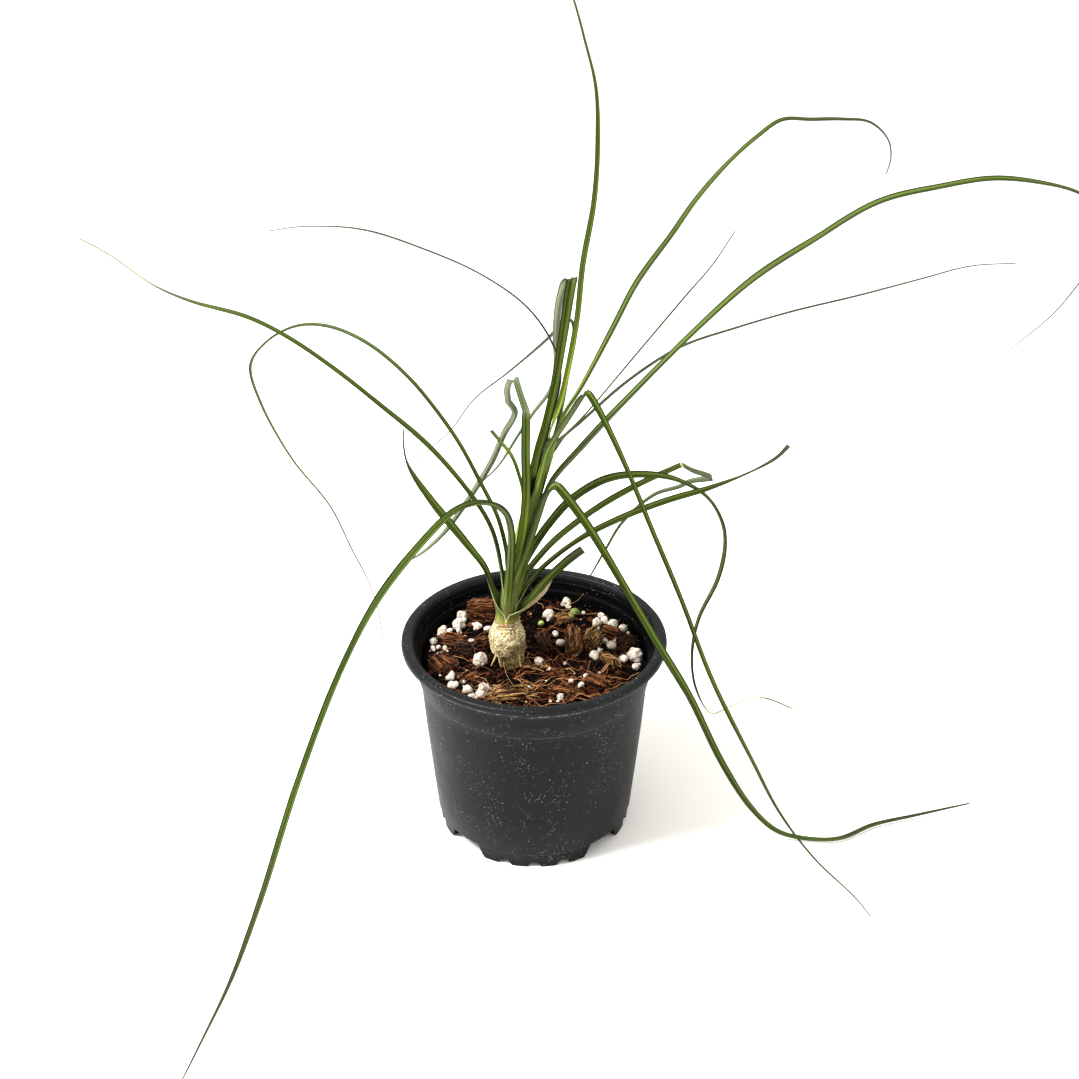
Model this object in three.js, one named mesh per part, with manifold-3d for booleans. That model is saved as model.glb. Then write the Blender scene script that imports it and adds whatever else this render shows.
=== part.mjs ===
// Young ponytail palm in a round nursery pot. Millimetres, +Z up. The origin is on the pot's axis, in the
// plane that its feet stand on. Every piece is a closed solid of its own.
import * as THREE from 'three';
import { mergeVertices } from 'three/addons/utils/BufferGeometryUtils.js';
import Module from 'manifold-3d';

const wasm = await Module();
wasm.setup();

// Pot: a thin moulded cup with a flat lip, a collar band and a foot ring
const RIM_R = 54;
const POT_H = 88;
const LIP_DEPTH = 3;
const LIP_WIDTH = 4.4;
const WALL = 1.3;
const COLLAR_Z = 70.2;
const COLLAR_STEP = 0.7;
const BODY_TOP_R = 46.7;
const BODY_BOTTOM_R = 41.4;
const FOOT_R = 40.4;
const FOOT_WIDTH = 4;
const FOOT_H = 6.3;
const LEDGES = [{ z: 84.4, r: 48.2 }, { z: 80.9, r: 47.2 }];
const BASE_TOP_Z = 7.4;
const DISC_R = 26;
const DISC_Z = 2.5;
const DISC_SLOPE = 3.2;
const BASE_T = 1.4;
const POT_SEGMENTS = 48;

// Openings of the foot: four arches, three notches in each lobe, and a ring of drain holes
const ARCH_H = 5.7;
const ARCH_TOP_W = 12.4;
const ARCH_BOTTOM_W = 21.2;
const NOTCH_H = 2.4;
const NOTCH_TOP_W = 3;
const NOTCH_BOTTOM_W = 5.8;
const NOTCH_ANGLES = [-17.5, 0, 17.5];
const DRAIN_HOLES = 8;
const DRAIN_R = 33;
const DRAIN_D = 5;
const DRAIN_SIDES = 10;
const CUTTER_LENGTH = 12;

// Soil, and the plain hole in it that the trunk's stub stands in
const GAP = 0.35;
const SOIL_Z = 76;
const HOLE_R = 5.5;
const HOLE_BOTTOM_Z = 67;
const HOLE_DEPTH = 30;
const SOIL_SEGMENTS = 32;
const SOIL_RINGS = [40, 33, 26, 19, 12, 6];
const SOIL_SEED = 7;

// Trunk and shoot. The shoot leans to the right as it rises.
const TRUNK = { x: -10.9, y: -2 };
const TRUNK_SEGMENTS = 24;
const STUB_R = 4.9;
const STUB_Z = 67.5;
const TRUNK_PROFILE = [
  [4.7, 74.5], [4.9, 77], [5.1, 81.3], [6.9, 83.1], [7.4, 85.5], [7.5, 88.5], [7.1, 91], [6.3, 93.6],
  [5.5, 95.2], [5.2, 96],
];
const BARK_RELIEF = 0.35;
const BARK_FROM_Z = 82;
const BARK_TO_Z = 95;
const AERIAL_ROOTS = { angles: [215, 250, 300], r: 0.9, length: 6.5, lean: 24, out: 5.2, z: 81.6 };
const SHOOT_ROUTE = [
  [-10.8, -2, 96.35], [-10.2, -2, 101], [-9.6, -2, 106], [-8.2, -2, 115], [-6.2, -1.9, 125], [-4, -1.8, 135],
  [-0.2, -1.5, 150], [3.4, -1.2, 165], [5, -1, 172], [6.1, -0.9, 177],
];
const SHOOT_R = [5.2, 4.7, 4.1, 3.6, 3.2, 3, 2.9, 2.9, 2.5, 1.5];
const SHOOT_SIDES = 20;
const SHEATH_RELIEF = 0.3;

// Blades: a shallow V section, as deep at the middle as this share of its width. A blade keeps its full width
// for this share of its length and then narrows to this share of its width at the tip.
const CHANNEL = 0.17;
const BLADE_T = 0.7;
const THREAD_T = 0.6;
const THREAD_MAX_W = 1.6;
const TIP_W = 0.9;
const FULL_UNTIL = 0.6;
const TIP_SHARE = 0.25;
const STEPS_PER_SPAN = 2;

// One row for each leaf: its width at the middle, the way it heads in degrees anticlockwise from +X, how far it
// is rolled about its own length at the base and further out, whether its end is cut off, where its full width
// ends if not at FULL_UNTIL, and its midrib's route.
const LEAVES = [
  { name: 'leaf_front_left_arch', width: 3.2, heading: 238, roll: [21, 0], full: 0.7,
    route: [[-11, -7, 103], [-9.5, -8.5, 122], [-9, -11, 140], [-11, -15, 151], [-16, -22, 159],
      [-24, -35, 165], [-31, -48, 166.5], [-50, -77, 155], [-62, -96, 139], [-77, -120, 107], [-89, -140, 74],
      [-98, -153, 53], [-106, -167, 41], [-112, -176, 32]] },
  { name: 'leaf_left_long', width: 2.5, heading: 167, roll: [-7, -25], full: 0.65,
    route: [[-13, -0.5, 111], [-14.5, 1.5, 126], [-18, 2.5, 138], [-27, 4, 153], [-41, 8, 169], [-59, 12, 184],
      [-76, 16, 197], [-93, 20, 208], [-108, 23, 215], [-131, 28, 220], [-145, 32, 225], [-161, 35, 236],
      [-172, 38, 241]] },
  { name: 'leaf_left_loop', width: 2.3, heading: 152, roll: [-32, -8], full: 0.4,
    route: [[-10, 2, 117], [-12.5, 6, 130.5], [-15, 7, 139.5], [-21, 11, 151], [-29, 15, 166], [-38, 20, 178],
      [-49, 25, 190], [-64, 33, 200], [-80, 42, 204], [-94, 49, 202], [-109, 57, 192], [-117, 61, 180],
      [-114, 60, 164], [-102, 54, 141], [-86, 45, 123], [-77, 38, 105.5], [-71, 32, 96], [-67, 29, 84],
      [-65, 28, 67]] },
  { name: 'leaf_left_short', width: 3.7, heading: 152, roll: [28, -25], full: 0.5,
    route: [[-15.7, -2, 101], [-17, -2, 109], [-20, -0.5, 119.5], [-28, 4, 129], [-40, 11, 142],
      [-49.5, 15, 157], [-51, 16, 167], [-50.5, 16, 172]] },
  { name: 'leaf_folded_upright', width: 3, heading: 131, roll: [-61, 0],
    route: [[-9, -6, 120], [-5.5, -6.5, 133], [-3, -6, 152.5], [-3, -5, 173], [-3.5, -4, 190],
      [-5.5, -2, 196], [-7, 0, 199], [-9, 4, 197], [-9.3, 7, 191], [-8, 9, 183], [-8.3, 10, 178.5],
      [-12, 14, 170], [-17, 19, 156], [-31, 36, 125], [-40, 46, 108], [-53, 61, 89], [-66, 76, 76]] },
  { name: 'leaf_folded_tall', width: 3.4, heading: 128, roll: [40, 0],
    route: [[-1.8, -0.6, 160], [0.9, 0.4, 170], [4.5, 2.5, 182], [8, 6, 197], [11, 10, 215], [13, 14, 228],
      [14, 16, 233], [12, 19, 232], [9, 22, 227], [8, 26, 211], [8.5, 32, 189.5], [1, 40, 171],
      [-6, 47, 156], [-15, 55, 137], [-22, 61, 127]] },
  { name: 'leaf_top_spear', width: 2.4, heading: 80, roll: [0, 0], full: 0.45,
    route: [[6.5, -0.5, 178], [8.7, 1.5, 185], [11.5, 4, 195], [16, 9, 219], [18, 13, 239], [22, 18, 262],
      [23, 22, 283], [22, 25, 300], [18, 28, 315], [14, 31, 328], [9, 34, 340], [5, 36, 350]] },
  { name: 'leaf_right_high_arc', width: 2.7, heading: 22, roll: [-40, 20], full: 0.45,
    route: [[7.5, -3, 169], [10.5, -1.5, 184], [18, 1.5, 196], [29, 6, 216], [38, 10, 233], [50, 14, 249.5],
      [59, 18, 262], [70, 22, 274], [80, 26, 282], [89, 30, 287], [101, 35, 286], [113, 40, 285],
      [124, 44, 283], [132, 47, 276], [134, 48, 269], [133, 48, 263]] },
  { name: 'leaf_right_long_arch', width: 3.2, heading: -4, roll: [-20, 22], full: 0.55,
    route: [[-2, -4, 127], [1, -4.5, 140], [6, -4.5, 157.5], [18.7, -5, 174.5], [35, -7, 195], [58.5, -8, 222],
      [77, -9, 240.5], [96, -11, 255], [117, -12, 269], [137, -14, 275], [154, -15, 278], [169, -16, 277],
      [182, -17, 274], [192, -18, 268], [196, -18, 259], [188, -17, 242], [181, -17, 231], [168, -16, 217]] },
  { name: 'leaf_thread_right_steep', width: 1.1, heading: 42, roll: [0, 0],
    route: [[7, 1.5, 171.5], [17, 10.5, 177.5], [24, 17, 183], [41, 32, 198], [60.3, 50, 214.5], [71, 59, 224],
      [80, 67, 235]] },
  { name: 'leaf_thread_right_long', width: 1.4, heading: 24, roll: [0, 0],
    route: [[8, 0, 170], [12.5, 2, 176], [18, 4, 180.5], [36, 12, 194], [56, 21, 204], [78, 31, 208],
      [101, 41, 211], [128, 53, 213], [156, 65, 216], [178, 75, 218], [200, 85, 216]] },
  { name: 'leaf_kinked_front_right', width: 2.5, heading: -27, roll: [-63, 22], full: 0.5,
    route: [[0.8, -5.6, 151], [3.8, -6.8, 165.5], [6, -7, 174], [12.5, -9, 186.5], [17, -11, 198],
      [18, -12, 200], [20, -14, 200], [25, -16, 191], [34, -21, 173], [43.5, -26, 150.5], [55, -32, 124],
      [68, -39, 92], [84, -47, 61], [96, -53, 39], [110, -60, 22], [126, -68, 9], [132, -72, 3]] },
  { name: 'leaf_kinked_trailing', width: 3.3, heading: -8, roll: [-52, 38], full: 0.5,
    route: [[-6.1, -6.3, 114], [-4, -7.5, 124], [-1.5, -8.5, 133], [2.5, -9, 147.5], [6, -10, 157.5],
      [8, -11, 160], [10.5, -12, 159], [19.5, -14, 146.5], [33.7, -17.5, 122.5], [48, -20.5, 97],
      [61.4, -22.5, 73.5], [76, -23.5, 41.5], [89.5, -24, 18.5], [101, -24, 6], [111, -24, 2], [127, -25, 2],
      [144, -16, 2], [163, -10, 2], [189, -2, 2]] },
  { name: 'leaf_right_hook', width: 3, heading: 14, roll: [53, 18], full: 0.5,
    route: [[-6, 2, 117], [-1, 3, 125], [5.5, 3, 136], [15.3, 6, 146.5], [28.5, 9, 153.5], [42, 12, 154],
      [56, 16, 150], [69, 19, 141], [76, 21, 129], [78, 21, 119], [76, 21, 102], [69, 19, 84], [67, 18, 67],
      [70, 19, 47], [78, 21, 33], [85, 23, 35], [98, 26, 38], [113, 30, 30], [123, 32, 22]] },
  { name: 'leaf_right_folded', width: 3.2, heading: 33, roll: [6, 20],
    route: [[-5, 1.5, 112], [-0.5, 3.5, 118], [8.5, 6, 128], [24.5, 14, 137.5], [42, 25, 143],
      [60, 37, 145.5], [68.7, 43, 140.5], [74, 46, 136], [71, 47, 134], [61, 50, 131], [51, 53, 126],
      [38, 57, 109], [31, 59, 94], [26, 61, 82], [22, 62, 73]] },
  { name: 'leaf_right_cut', width: 3.3, heading: 14, roll: [0, 25], cut: true,
    route: [[-4.8, -1.5, 106], [-1.8, -2.5, 113], [5.5, -2, 122], [19, 1, 132], [35, 5, 139], [52, 10, 143.5],
      [69, 14, 147], [85, 18, 152], [96, 21, 157], [101, 22, 162]] },
  { name: 'leaf_right_stub', width: 4.1, heading: 8, roll: [-24, 30], cut: true,
    route: [[-5.2, -4.6, 100.5], [-0.5, -5, 107.5], [3.5, -5, 113.5], [13.5, -3, 123.3], [19.6, -1, 127.5]] },
  { name: 'leaf_left_stub', width: 2, heading: 155, roll: [25, -15], cut: true,
    route: [[-4.7, -1.2, 147], [-5.2, 0, 156.5], [-8.5, 2, 167], [-13.5, 5, 172.5], [-16.5, 7, 175.5]] },
  { name: 'leaf_thread_left', width: 1.3, heading: 150, roll: [-43, 0],
    route: [[3, 2.5, 168], [6, 6, 179], [10, 14, 196.5], [6, 20, 208], [-3, 25, 219], [-20, 35, 228],
      [-43, 48, 234], [-68, 63, 237], [-93, 77, 234], [-110, 87, 229]] },
  { name: 'leaf_thread_back', width: 1.5, heading: 120, roll: [-50, 0],
    route: [[4.5, 2.5, 164], [9, 6, 178], [13.5, 15, 201], [15, 24, 211], [13, 30, 212], [6, 36, 202],
      [-10, 55, 180], [-26, 74, 159], [-37, 87, 139], [-55, 108, 114]] },
];
const BRACT_ROUTE = [[-6, 1.3, 97.4], [-2, 2, 101.5], [2.8, 2.8, 107], [6.5, 3.5, 112.5]];
const BRACT = { width: 4, heading: 40, roll: [0, 0], full: 0.4, route: BRACT_ROUTE };

// Coir chips that stand out of the soil: place, size along and across, height of the top, and turn in degrees
const CHIP_BOTTOM_Z = 71;
const CHIP_LEAN = 5;
const CHIPS = [
  { at: [-22.2, 30.8], size: [12.5, 6.5], top: 85, turn: -4 },
  { at: [-22, 6], size: [5.5, 5], top: 82, turn: 12 },
  { at: [16.4, 10.5], size: [6.5, 15], top: 81, turn: 4 },
  { at: [24, 10], size: [7, 8], top: 82.5, turn: -25 },
  { at: [-36.5, -6.5], size: [9, 11], top: 80.5, turn: 35 },
  { at: [-34, 12], size: [8, 6], top: 79, turn: -15 },
  { at: [32, 16], size: [8, 5], top: 80.5, turn: -30 },
  { at: [-9, -26], size: [14, 8], top: 78.5, turn: 6 },
  { at: [11, -24], size: [11, 6], top: 78, turn: -12 },
  { at: [-26, -12], size: [7, 4], top: 77.8, turn: 40 },
  { at: [25, -17], size: [9, 6], top: 78, turn: -35 },
  { at: [12, 29], size: [7, 5], top: 79, turn: 20 },
  { at: [4.5, 9], size: [4.5, 13], top: 80, turn: 8 },
  { at: [-28.5, 4], size: [7, 6], top: 80, turn: -20 },
  { at: [38.5, 9], size: [7, 7], top: 79.5, turn: 15 },
  { at: [31, -3], size: [8, 3.5], top: 79.5, turn: -40 },
];
// White perlite grains: place and radius
const GRAINS = [
  [-30.6, 29.6, 2.4], [-30.5, 27, 1.5], [-32, 23.5, 2.6], [-24, 22.5, 2.1], [-19.5, 20, 1.8],
  [-38.8, 18.6, 2.1], [-35.8, 18.6, 1.5], [-41.9, 10.8, 1.8], [-41.8, 6, 1.3], [-37, 6.5, 1.3],
  [-39, 2, 1.6], [-26, 11.5, 1.4],
  [-22, -3.5, 3.2], [-33.5, -14, 2.2], [-32, -20.5, 2.1], [-26.5, -23.5, 2.2], [-20, -22, 2.4],
  [-21.5, -26.5, 2], [-24, -30, 2.2], [-2, -21, 1.2], [14, 40.4, 2.4], [6, 30.5, 2.5], [28.5, 30, 1.5],
  [26.5, 24.5, 2.1], [30, 27, 1.7], [33.5, 25, 2], [33.5, 19, 2.3], [37.5, 20.5, 1.8], [9, 17, 1.6],
  [11, 9.5, 1.8], [29.5, 11.5, 1.4], [32, 7.5, 2.1], [25, 0, 2.2], [27, 4, 1.2], [41.3, -0.5, 3.3],
  [36.5, -3, 2], [41.5, -6.5, 1.7], [2, -4.5, 1.9], [21, -13.5, 1.3], [19, -20.5, 1.4], [10.5, -27, 1.7],
];
// Coir fibres that lie on the soil, most of them in front of the trunk
const FIBRES = 22;
const FIBRE_R = 0.7;
const FIBRE_SPANS = 4;

const radians = THREE.MathUtils.degToRad;

/** Shared vertices merged and empty triangles dropped, with only positions kept. */
function weld(geometry) {
  const bare = geometry.clone();
  bare.deleteAttribute('normal');
  bare.deleteAttribute('uv');
  const merged = mergeVertices(bare, 1e-3);
  const old = merged.index.array;
  const kept = [];
  for (let i = 0; i < old.length; i += 3) {
    const [a, b, c] = old.slice(i, i + 3);
    if (a !== b && b !== c && c !== a) kept.push(a, b, c);
  }
  merged.setIndex(kept);
  return merged;
}

function toSolid(geometry) {
  const g = weld(geometry);
  const vertProperties = new Float32Array(g.attributes.position.array);
  const triVerts = new Uint32Array(g.index.array);
  return new wasm.Manifold(new wasm.Mesh({ numProp: 3, vertProperties, triVerts }));
}

function toGeometry(solid) {
  const mesh = solid.getMesh();
  const g = new THREE.BufferGeometry();
  g.setAttribute('position', new THREE.BufferAttribute(new Float32Array(mesh.vertProperties), 3));
  g.setIndex([...mesh.triVerts]);
  return g;
}

/** A turned solid about +Z from a profile of [radius, height] points. */
function lathe(profile, segments) {
  const points = profile.map(([r, z]) => new THREE.Vector2(r, z));
  return new THREE.LatheGeometry(points, segments).rotateX(Math.PI / 2);
}

/** A prism whose outline lies across the radius and which runs outwards from the pot's axis at an angle. */
function radialCutter(outline, angle) {
  const shape = new THREE.Shape(outline.map(([x, y]) => new THREE.Vector2(x, y)));
  const g = new THREE.ExtrudeGeometry(shape, { depth: CUTTER_LENGTH, bevelEnabled: false, steps: 1 });
  g.rotateX(Math.PI / 2).translate(0, FOOT_R + 3, 0).rotateZ(radians(angle - 90));
  return toSolid(g);
}

function potGeometry() {
  const innerLip = RIM_R - LIP_WIDTH;
  const ledgeTopR = LEDGES[1].r - 0.8;
  const footInner = FOOT_R - FOOT_WIDTH;
  const profile = [
    [0, DISC_Z], [DISC_R, DISC_Z], [DISC_R + DISC_SLOPE, FOOT_H - 0.3], [footInner, FOOT_H - 0.3],
    [footInner, 0], [FOOT_R, 0], [FOOT_R + 0.2, FOOT_H], [BODY_BOTTOM_R, FOOT_H + 0.3], [BODY_TOP_R, COLLAR_Z],
    [BODY_TOP_R + COLLAR_STEP, COLLAR_Z + 0.4], [49, POT_H - LIP_DEPTH], [RIM_R - 0.4, POT_H - LIP_DEPTH],
    [RIM_R, POT_H - 1.6], [RIM_R - 0.8, POT_H], [innerLip + 0.3, POT_H], [innerLip, POT_H - 0.6],
    [LEDGES[0].r, LEDGES[0].z], [LEDGES[1].r, LEDGES[1].z], [ledgeTopR, LEDGES[1].z - 0.5],
    [BODY_BOTTOM_R - WALL, BASE_TOP_Z], [DISC_R + DISC_SLOPE + 0.6, BASE_TOP_Z],
    [DISC_R + 0.6, DISC_Z + BASE_T], [0, DISC_Z + BASE_T],
  ];
  let pot = toSolid(lathe(profile, POT_SEGMENTS));
  const arch = [
    [-ARCH_BOTTOM_W / 2, -1], [ARCH_BOTTOM_W / 2, -1], [ARCH_TOP_W / 2, ARCH_H], [-ARCH_TOP_W / 2, ARCH_H],
  ];
  const notch = [
    [-NOTCH_BOTTOM_W / 2, -1], [NOTCH_BOTTOM_W / 2, -1], [NOTCH_BOTTOM_W / 2, 0], [NOTCH_TOP_W / 2, NOTCH_H],
    [-NOTCH_TOP_W / 2, NOTCH_H], [-NOTCH_BOTTOM_W / 2, 0],
  ];
  for (let quarter = 0; quarter < 4; quarter += 1) {
    pot = pot.subtract(radialCutter(arch, quarter * 90 + 45));
    for (const angle of NOTCH_ANGLES) pot = pot.subtract(radialCutter(notch, quarter * 90 + angle));
  }
  for (let i = 0; i < DRAIN_HOLES; i += 1) {
    const angle = radians((i + 0.5) * 360 / DRAIN_HOLES);
    const [x, y] = [DRAIN_R * Math.cos(angle), DRAIN_R * Math.sin(angle)];
    const drill = new THREE.CylinderGeometry(DRAIN_D / 2, DRAIN_D / 2, 4 * WALL, DRAIN_SIDES);
    pot = pot.subtract(toSolid(drill.rotateX(Math.PI / 2).translate(x, y, BASE_TOP_Z - 0.7)));
  }
  return toGeometry(pot);
}

/** Gentle hills of the soil's surface, in mm above SOIL_Z; it lies a little higher at the back. */
function soilRelief(x, y) {
  const hills = 0.6 * Math.sin(0.21 * x + 1.1) * Math.cos(0.18 * y - 0.4);
  return hills + 0.4 * Math.sin(0.37 * x - 0.29 * y) + 0.02 * y;
}

function insideR(z) {
  const share = (z - BASE_TOP_Z) / (LEDGES[1].z - 0.5 - BASE_TOP_Z);
  return THREE.MathUtils.lerp(BODY_BOTTOM_R - WALL, LEDGES[1].r - 0.8, share) - GAP;
}

function seededRandom(seed) {
  let state = seed;
  return () => {
    state = (state * 16807) % 2147483647;
    return state / 2147483647;
  };
}

function grain(x, y, r, random) {
  const g = new THREE.IcosahedronGeometry(r, 0);
  g.rotateX(random() * 3).rotateZ(random() * 3).scale(1, 0.8 + 0.3 * random(), 0.85);
  return toSolid(g.translate(x, y, SOIL_Z + soilRelief(x, y) + 0.35 * r));
}

/** A coir fibre: a thin three-sided thread, bowed along the ground and half sunk in it. */
function fibre(x, y, length, turn, bow) {
  const sides = 3;
  const positions = [];
  const index = [0, 2, 1];
  for (let i = 0; i <= FIBRE_SPANS; i += 1) {
    const along = (i / FIBRE_SPANS - 0.5) * length;
    const aside = bow * (1 - (2 * along / length) ** 2);
    const px = x + along * Math.cos(turn) - aside * Math.sin(turn);
    const py = y + along * Math.sin(turn) + aside * Math.cos(turn);
    for (let k = 0; k < sides; k += 1) {
      const angle = Math.PI / 2 + 2 * Math.PI * k / sides;
      const out = FIBRE_R * Math.cos(angle);
      const z = SOIL_Z + soilRelief(px, py) + FIBRE_R * Math.sin(angle);
      positions.push(px - out * Math.sin(turn), py + out * Math.cos(turn), z);
      if (i < FIBRE_SPANS) {
        const a = i * sides + k;
        const b = i * sides + (k + 1) % sides;
        index.push(a, b, b + sides, a, b + sides, a + sides);
      }
    }
  }
  const end = FIBRE_SPANS * sides;
  index.push(end, end + 1, end + 2);
  const g = new THREE.BufferGeometry();
  g.setAttribute('position', new THREE.Float32BufferAttribute(positions, 3));
  g.setIndex(index);
  return toSolid(g);
}

function soilGeometry() {
  const edge = insideR(SOIL_Z);
  const surface = [edge, ...SOIL_RINGS].map((r) => [r, SOIL_Z]);
  const profile = [
    [0, DISC_Z + BASE_T + GAP], [DISC_R, DISC_Z + BASE_T + GAP],
    [DISC_R + DISC_SLOPE + 0.2, BASE_TOP_Z + GAP], [insideR(BASE_TOP_Z + GAP), BASE_TOP_Z + GAP], ...surface,
    [0, SOIL_Z],
  ];
  const body = lathe(profile, SOIL_SEGMENTS);
  const p = body.attributes.position;
  for (let i = 0; i < p.count; i += 1) {
    if (p.getZ(i) > SOIL_Z - 0.01 && Math.hypot(p.getX(i), p.getY(i)) < edge - 1) {
      p.setZ(i, SOIL_Z + soilRelief(p.getX(i), p.getY(i)));
    }
  }
  let soil = toSolid(body);
  for (const { at: [x, y], size, top, turn } of CHIPS) {
    const chip = new THREE.BoxGeometry(...size, top - CHIP_BOTTOM_Z);
    chip.rotateX(radians(CHIP_LEAN)).rotateZ(radians(turn)).translate(x, y, (top + CHIP_BOTTOM_Z) / 2);
    soil = soil.add(toSolid(chip));
  }
  const random = seededRandom(SOIL_SEED);
  for (const [x, y, r] of GRAINS) soil = soil.add(grain(x, y, r, random));
  for (let i = 0; i < FIBRES; i += 1) {
    const x = THREE.MathUtils.lerp(-26, 26, random());
    const y = THREE.MathUtils.lerp(-33, 0, Math.sqrt(random()));
    soil = soil.add(fibre(x, y, 7 + 8 * random(), 3 * random(), 3 * random() - 1.5));
  }
  const hole = new THREE.CylinderGeometry(HOLE_R, HOLE_R, HOLE_DEPTH, TRUNK_SEGMENTS);
  hole.rotateX(Math.PI / 2).translate(TRUNK.x, TRUNK.y, HOLE_BOTTOM_Z + HOLE_DEPTH / 2);
  return toGeometry(soil.subtract(toSolid(hole)));
}

function trunkGeometry() {
  const profile = [[0, STUB_Z], [STUB_R - 0.8, STUB_Z], [STUB_R, STUB_Z + 1], ...TRUNK_PROFILE];
  const g = lathe([...profile, [0, TRUNK_PROFILE.at(-1)[1]]], TRUNK_SEGMENTS);
  const p = g.attributes.position;
  for (let i = 0; i < p.count; i += 1) {
    const [px, py, pz] = [p.getX(i), p.getY(i), p.getZ(i)];
    const reach = Math.hypot(px, py);
    if (pz > BARK_FROM_Z && pz < BARK_TO_Z && reach > 1) {
      const angle = Math.atan2(py, px);
      const bark = BARK_RELIEF * (Math.sin(5 * angle + 0.6 * pz) + Math.sin(11 * angle - 0.9 * pz));
      p.setXY(i, px * (1 + bark / reach), py * (1 + bark / reach));
    }
  }
  let trunk = toSolid(g);
  const { angles, r, length, lean, out, z } = AERIAL_ROOTS;
  for (const angle of angles) {
    const spur = new THREE.ConeGeometry(r, length, 6).rotateX(-Math.PI / 2).rotateY(radians(lean));
    trunk = trunk.add(toSolid(spur.translate(-out, 0, z).rotateZ(radians(angle - 180))));
  }
  return toGeometry(trunk).translate(TRUNK.x, TRUNK.y, 0);
}

/** The shoot: rings along its leaning route, with the edges of the wrapped sheaths in relief. */
function shootGeometry() {
  const around = SHOOT_SIDES;
  const positions = [];
  const index = [];
  SHOOT_ROUTE.forEach(([x, y, z], level) => {
    for (let k = 0; k < around; k += 1) {
      const angle = 2 * Math.PI * k / around;
      const wrap = Math.abs(Math.sin(1.5 * angle + 0.09 * z));
      const r = SHOOT_R[level] + SHEATH_RELIEF * (wrap - 0.5);
      positions.push(x + r * Math.cos(angle), y + r * Math.sin(angle), z);
    }
    for (let k = 0; level > 0 && k < around; k += 1) {
      const a = (level - 1) * around + k;
      const b = (level - 1) * around + (k + 1) % around;
      index.push(a, b, b + around, a, b + around, a + around);
    }
  });
  const top = (SHOOT_ROUTE.length - 1) * around;
  for (let k = 1; k < around - 1; k += 1) {
    index.push(0, k + 1, k, top, top + k, top + k + 1);
  }
  const g = new THREE.BufferGeometry();
  g.setAttribute('position', new THREE.Float32BufferAttribute(positions, 3));
  g.setIndex(index);
  return g;
}

/** Share of the full width at a share of the length: a little narrower at the base, drawn out to the tip. */
function widthShare(u, full, cut) {
  const base = Math.min(0.9 + u, 1);
  if (cut) return base;
  return base * (1 - (1 - TIP_SHARE) * Math.max((u - full) / (1 - full), 0) ** 1.2);
}

/** Evenly turning frames along a route: the across direction is carried on without twist, then rolled. */
function bladeFrames(points, heading, roll) {
  const last = points.length - 1;
  const along = points.map((_, i) => {
    const [behind, ahead] = [points[Math.max(i - 1, 0)], points[Math.min(i + 1, last)]];
    return ahead.clone().sub(behind).normalize();
  });
  const h = radians(heading);
  let across = new THREE.Vector3(-Math.sin(h), Math.cos(h), 0);
  return along.map((t, i) => {
    across.addScaledVector(t, -across.dot(t)).normalize();
    const settled = Math.min((i / last) / 0.35, 1);
    const turn = THREE.MathUtils.lerp(roll[0], roll[1], settled);
    const rolled = across.clone().applyAxisAngle(t, radians(turn));
    return { across: rolled, up: t.clone().cross(rolled) };
  });
}

/** A leaf blade: a shallow V section with flat ends, both faces split into like triangles. */
function bladeGeometry({ route, width, heading, roll, full = FULL_UNTIL, cut = false }) {
  const marks = route.map((p) => new THREE.Vector3(...p));
  const curve = new THREE.CatmullRomCurve3(marks, false, 'centripetal');
  const points = curve.getPoints((route.length - 1) * STEPS_PER_SPAN);
  const frames = bladeFrames(points, heading, roll);
  const thickness = width > THREAD_MAX_W ? BLADE_T : THREAD_T;
  const lengths = [0];
  points.forEach((p, i) => i > 0 && lengths.push(lengths[i - 1] + p.distanceTo(points[i - 1])));
  const positions = [];
  points.forEach((p, i) => {
    const { across, up } = frames[i];
    const half = Math.max(width * widthShare(lengths[i] / lengths.at(-1), full, cut), TIP_W) / 2;
    const rise = 2 * half * CHANNEL;
    const section = [
      [-half, rise], [0, 0], [half, rise], [half, rise - thickness], [0, -thickness], [-half, rise - thickness],
    ];
    for (const [a, n] of section) {
      positions.push(...p.clone().addScaledVector(across, a).addScaledVector(up, n).toArray());
    }
  });
  const index = [];
  const corners = 6;
  for (let i = 0; i < points.length - 1; i += 1) {
    for (let k = 0; k < corners; k += 1) {
      const a = i * corners + k;
      const b = i * corners + (k + 1) % corners;
      if (k < 2) index.push(a, b + corners, b, a, a + corners, b + corners);
      else index.push(a, a + corners, b, b, a + corners, b + corners);
    }
  }
  const end = (points.length - 1) * corners;
  for (const [a, b, c] of [[0, 1, 5], [1, 4, 5], [1, 2, 4], [2, 3, 4]]) {
    index.push(a, b, c, end + a, end + c, end + b);
  }
  const g = new THREE.BufferGeometry();
  g.setAttribute('position', new THREE.Float32BufferAttribute(positions, 3));
  g.setIndex(index);
  return g;
}

function piece(name, geometry, color, roughness) {
  const mesh = new THREE.Mesh(geometry, new THREE.MeshStandardMaterial({ color, roughness, metalness: 0 }));
  mesh.name = name;
  return mesh;
}

const plant = new THREE.Group();
plant.add(
  piece('pot', potGeometry(), 0x2c2f31, 0.55),
  piece('soil', soilGeometry(), 0x4a2c1c, 0.95),
  piece('trunk', trunkGeometry(), 0xc9b184, 0.9),
  piece('crown', shootGeometry(), 0x7f9a55, 0.55),
  piece('bract', bladeGeometry(BRACT), 0xcdb48c, 0.85),
);
for (const leaf of LEAVES) plant.add(piece(leaf.name, bladeGeometry(leaf), 0x4f7020, 0.5));

export default plant;
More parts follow.
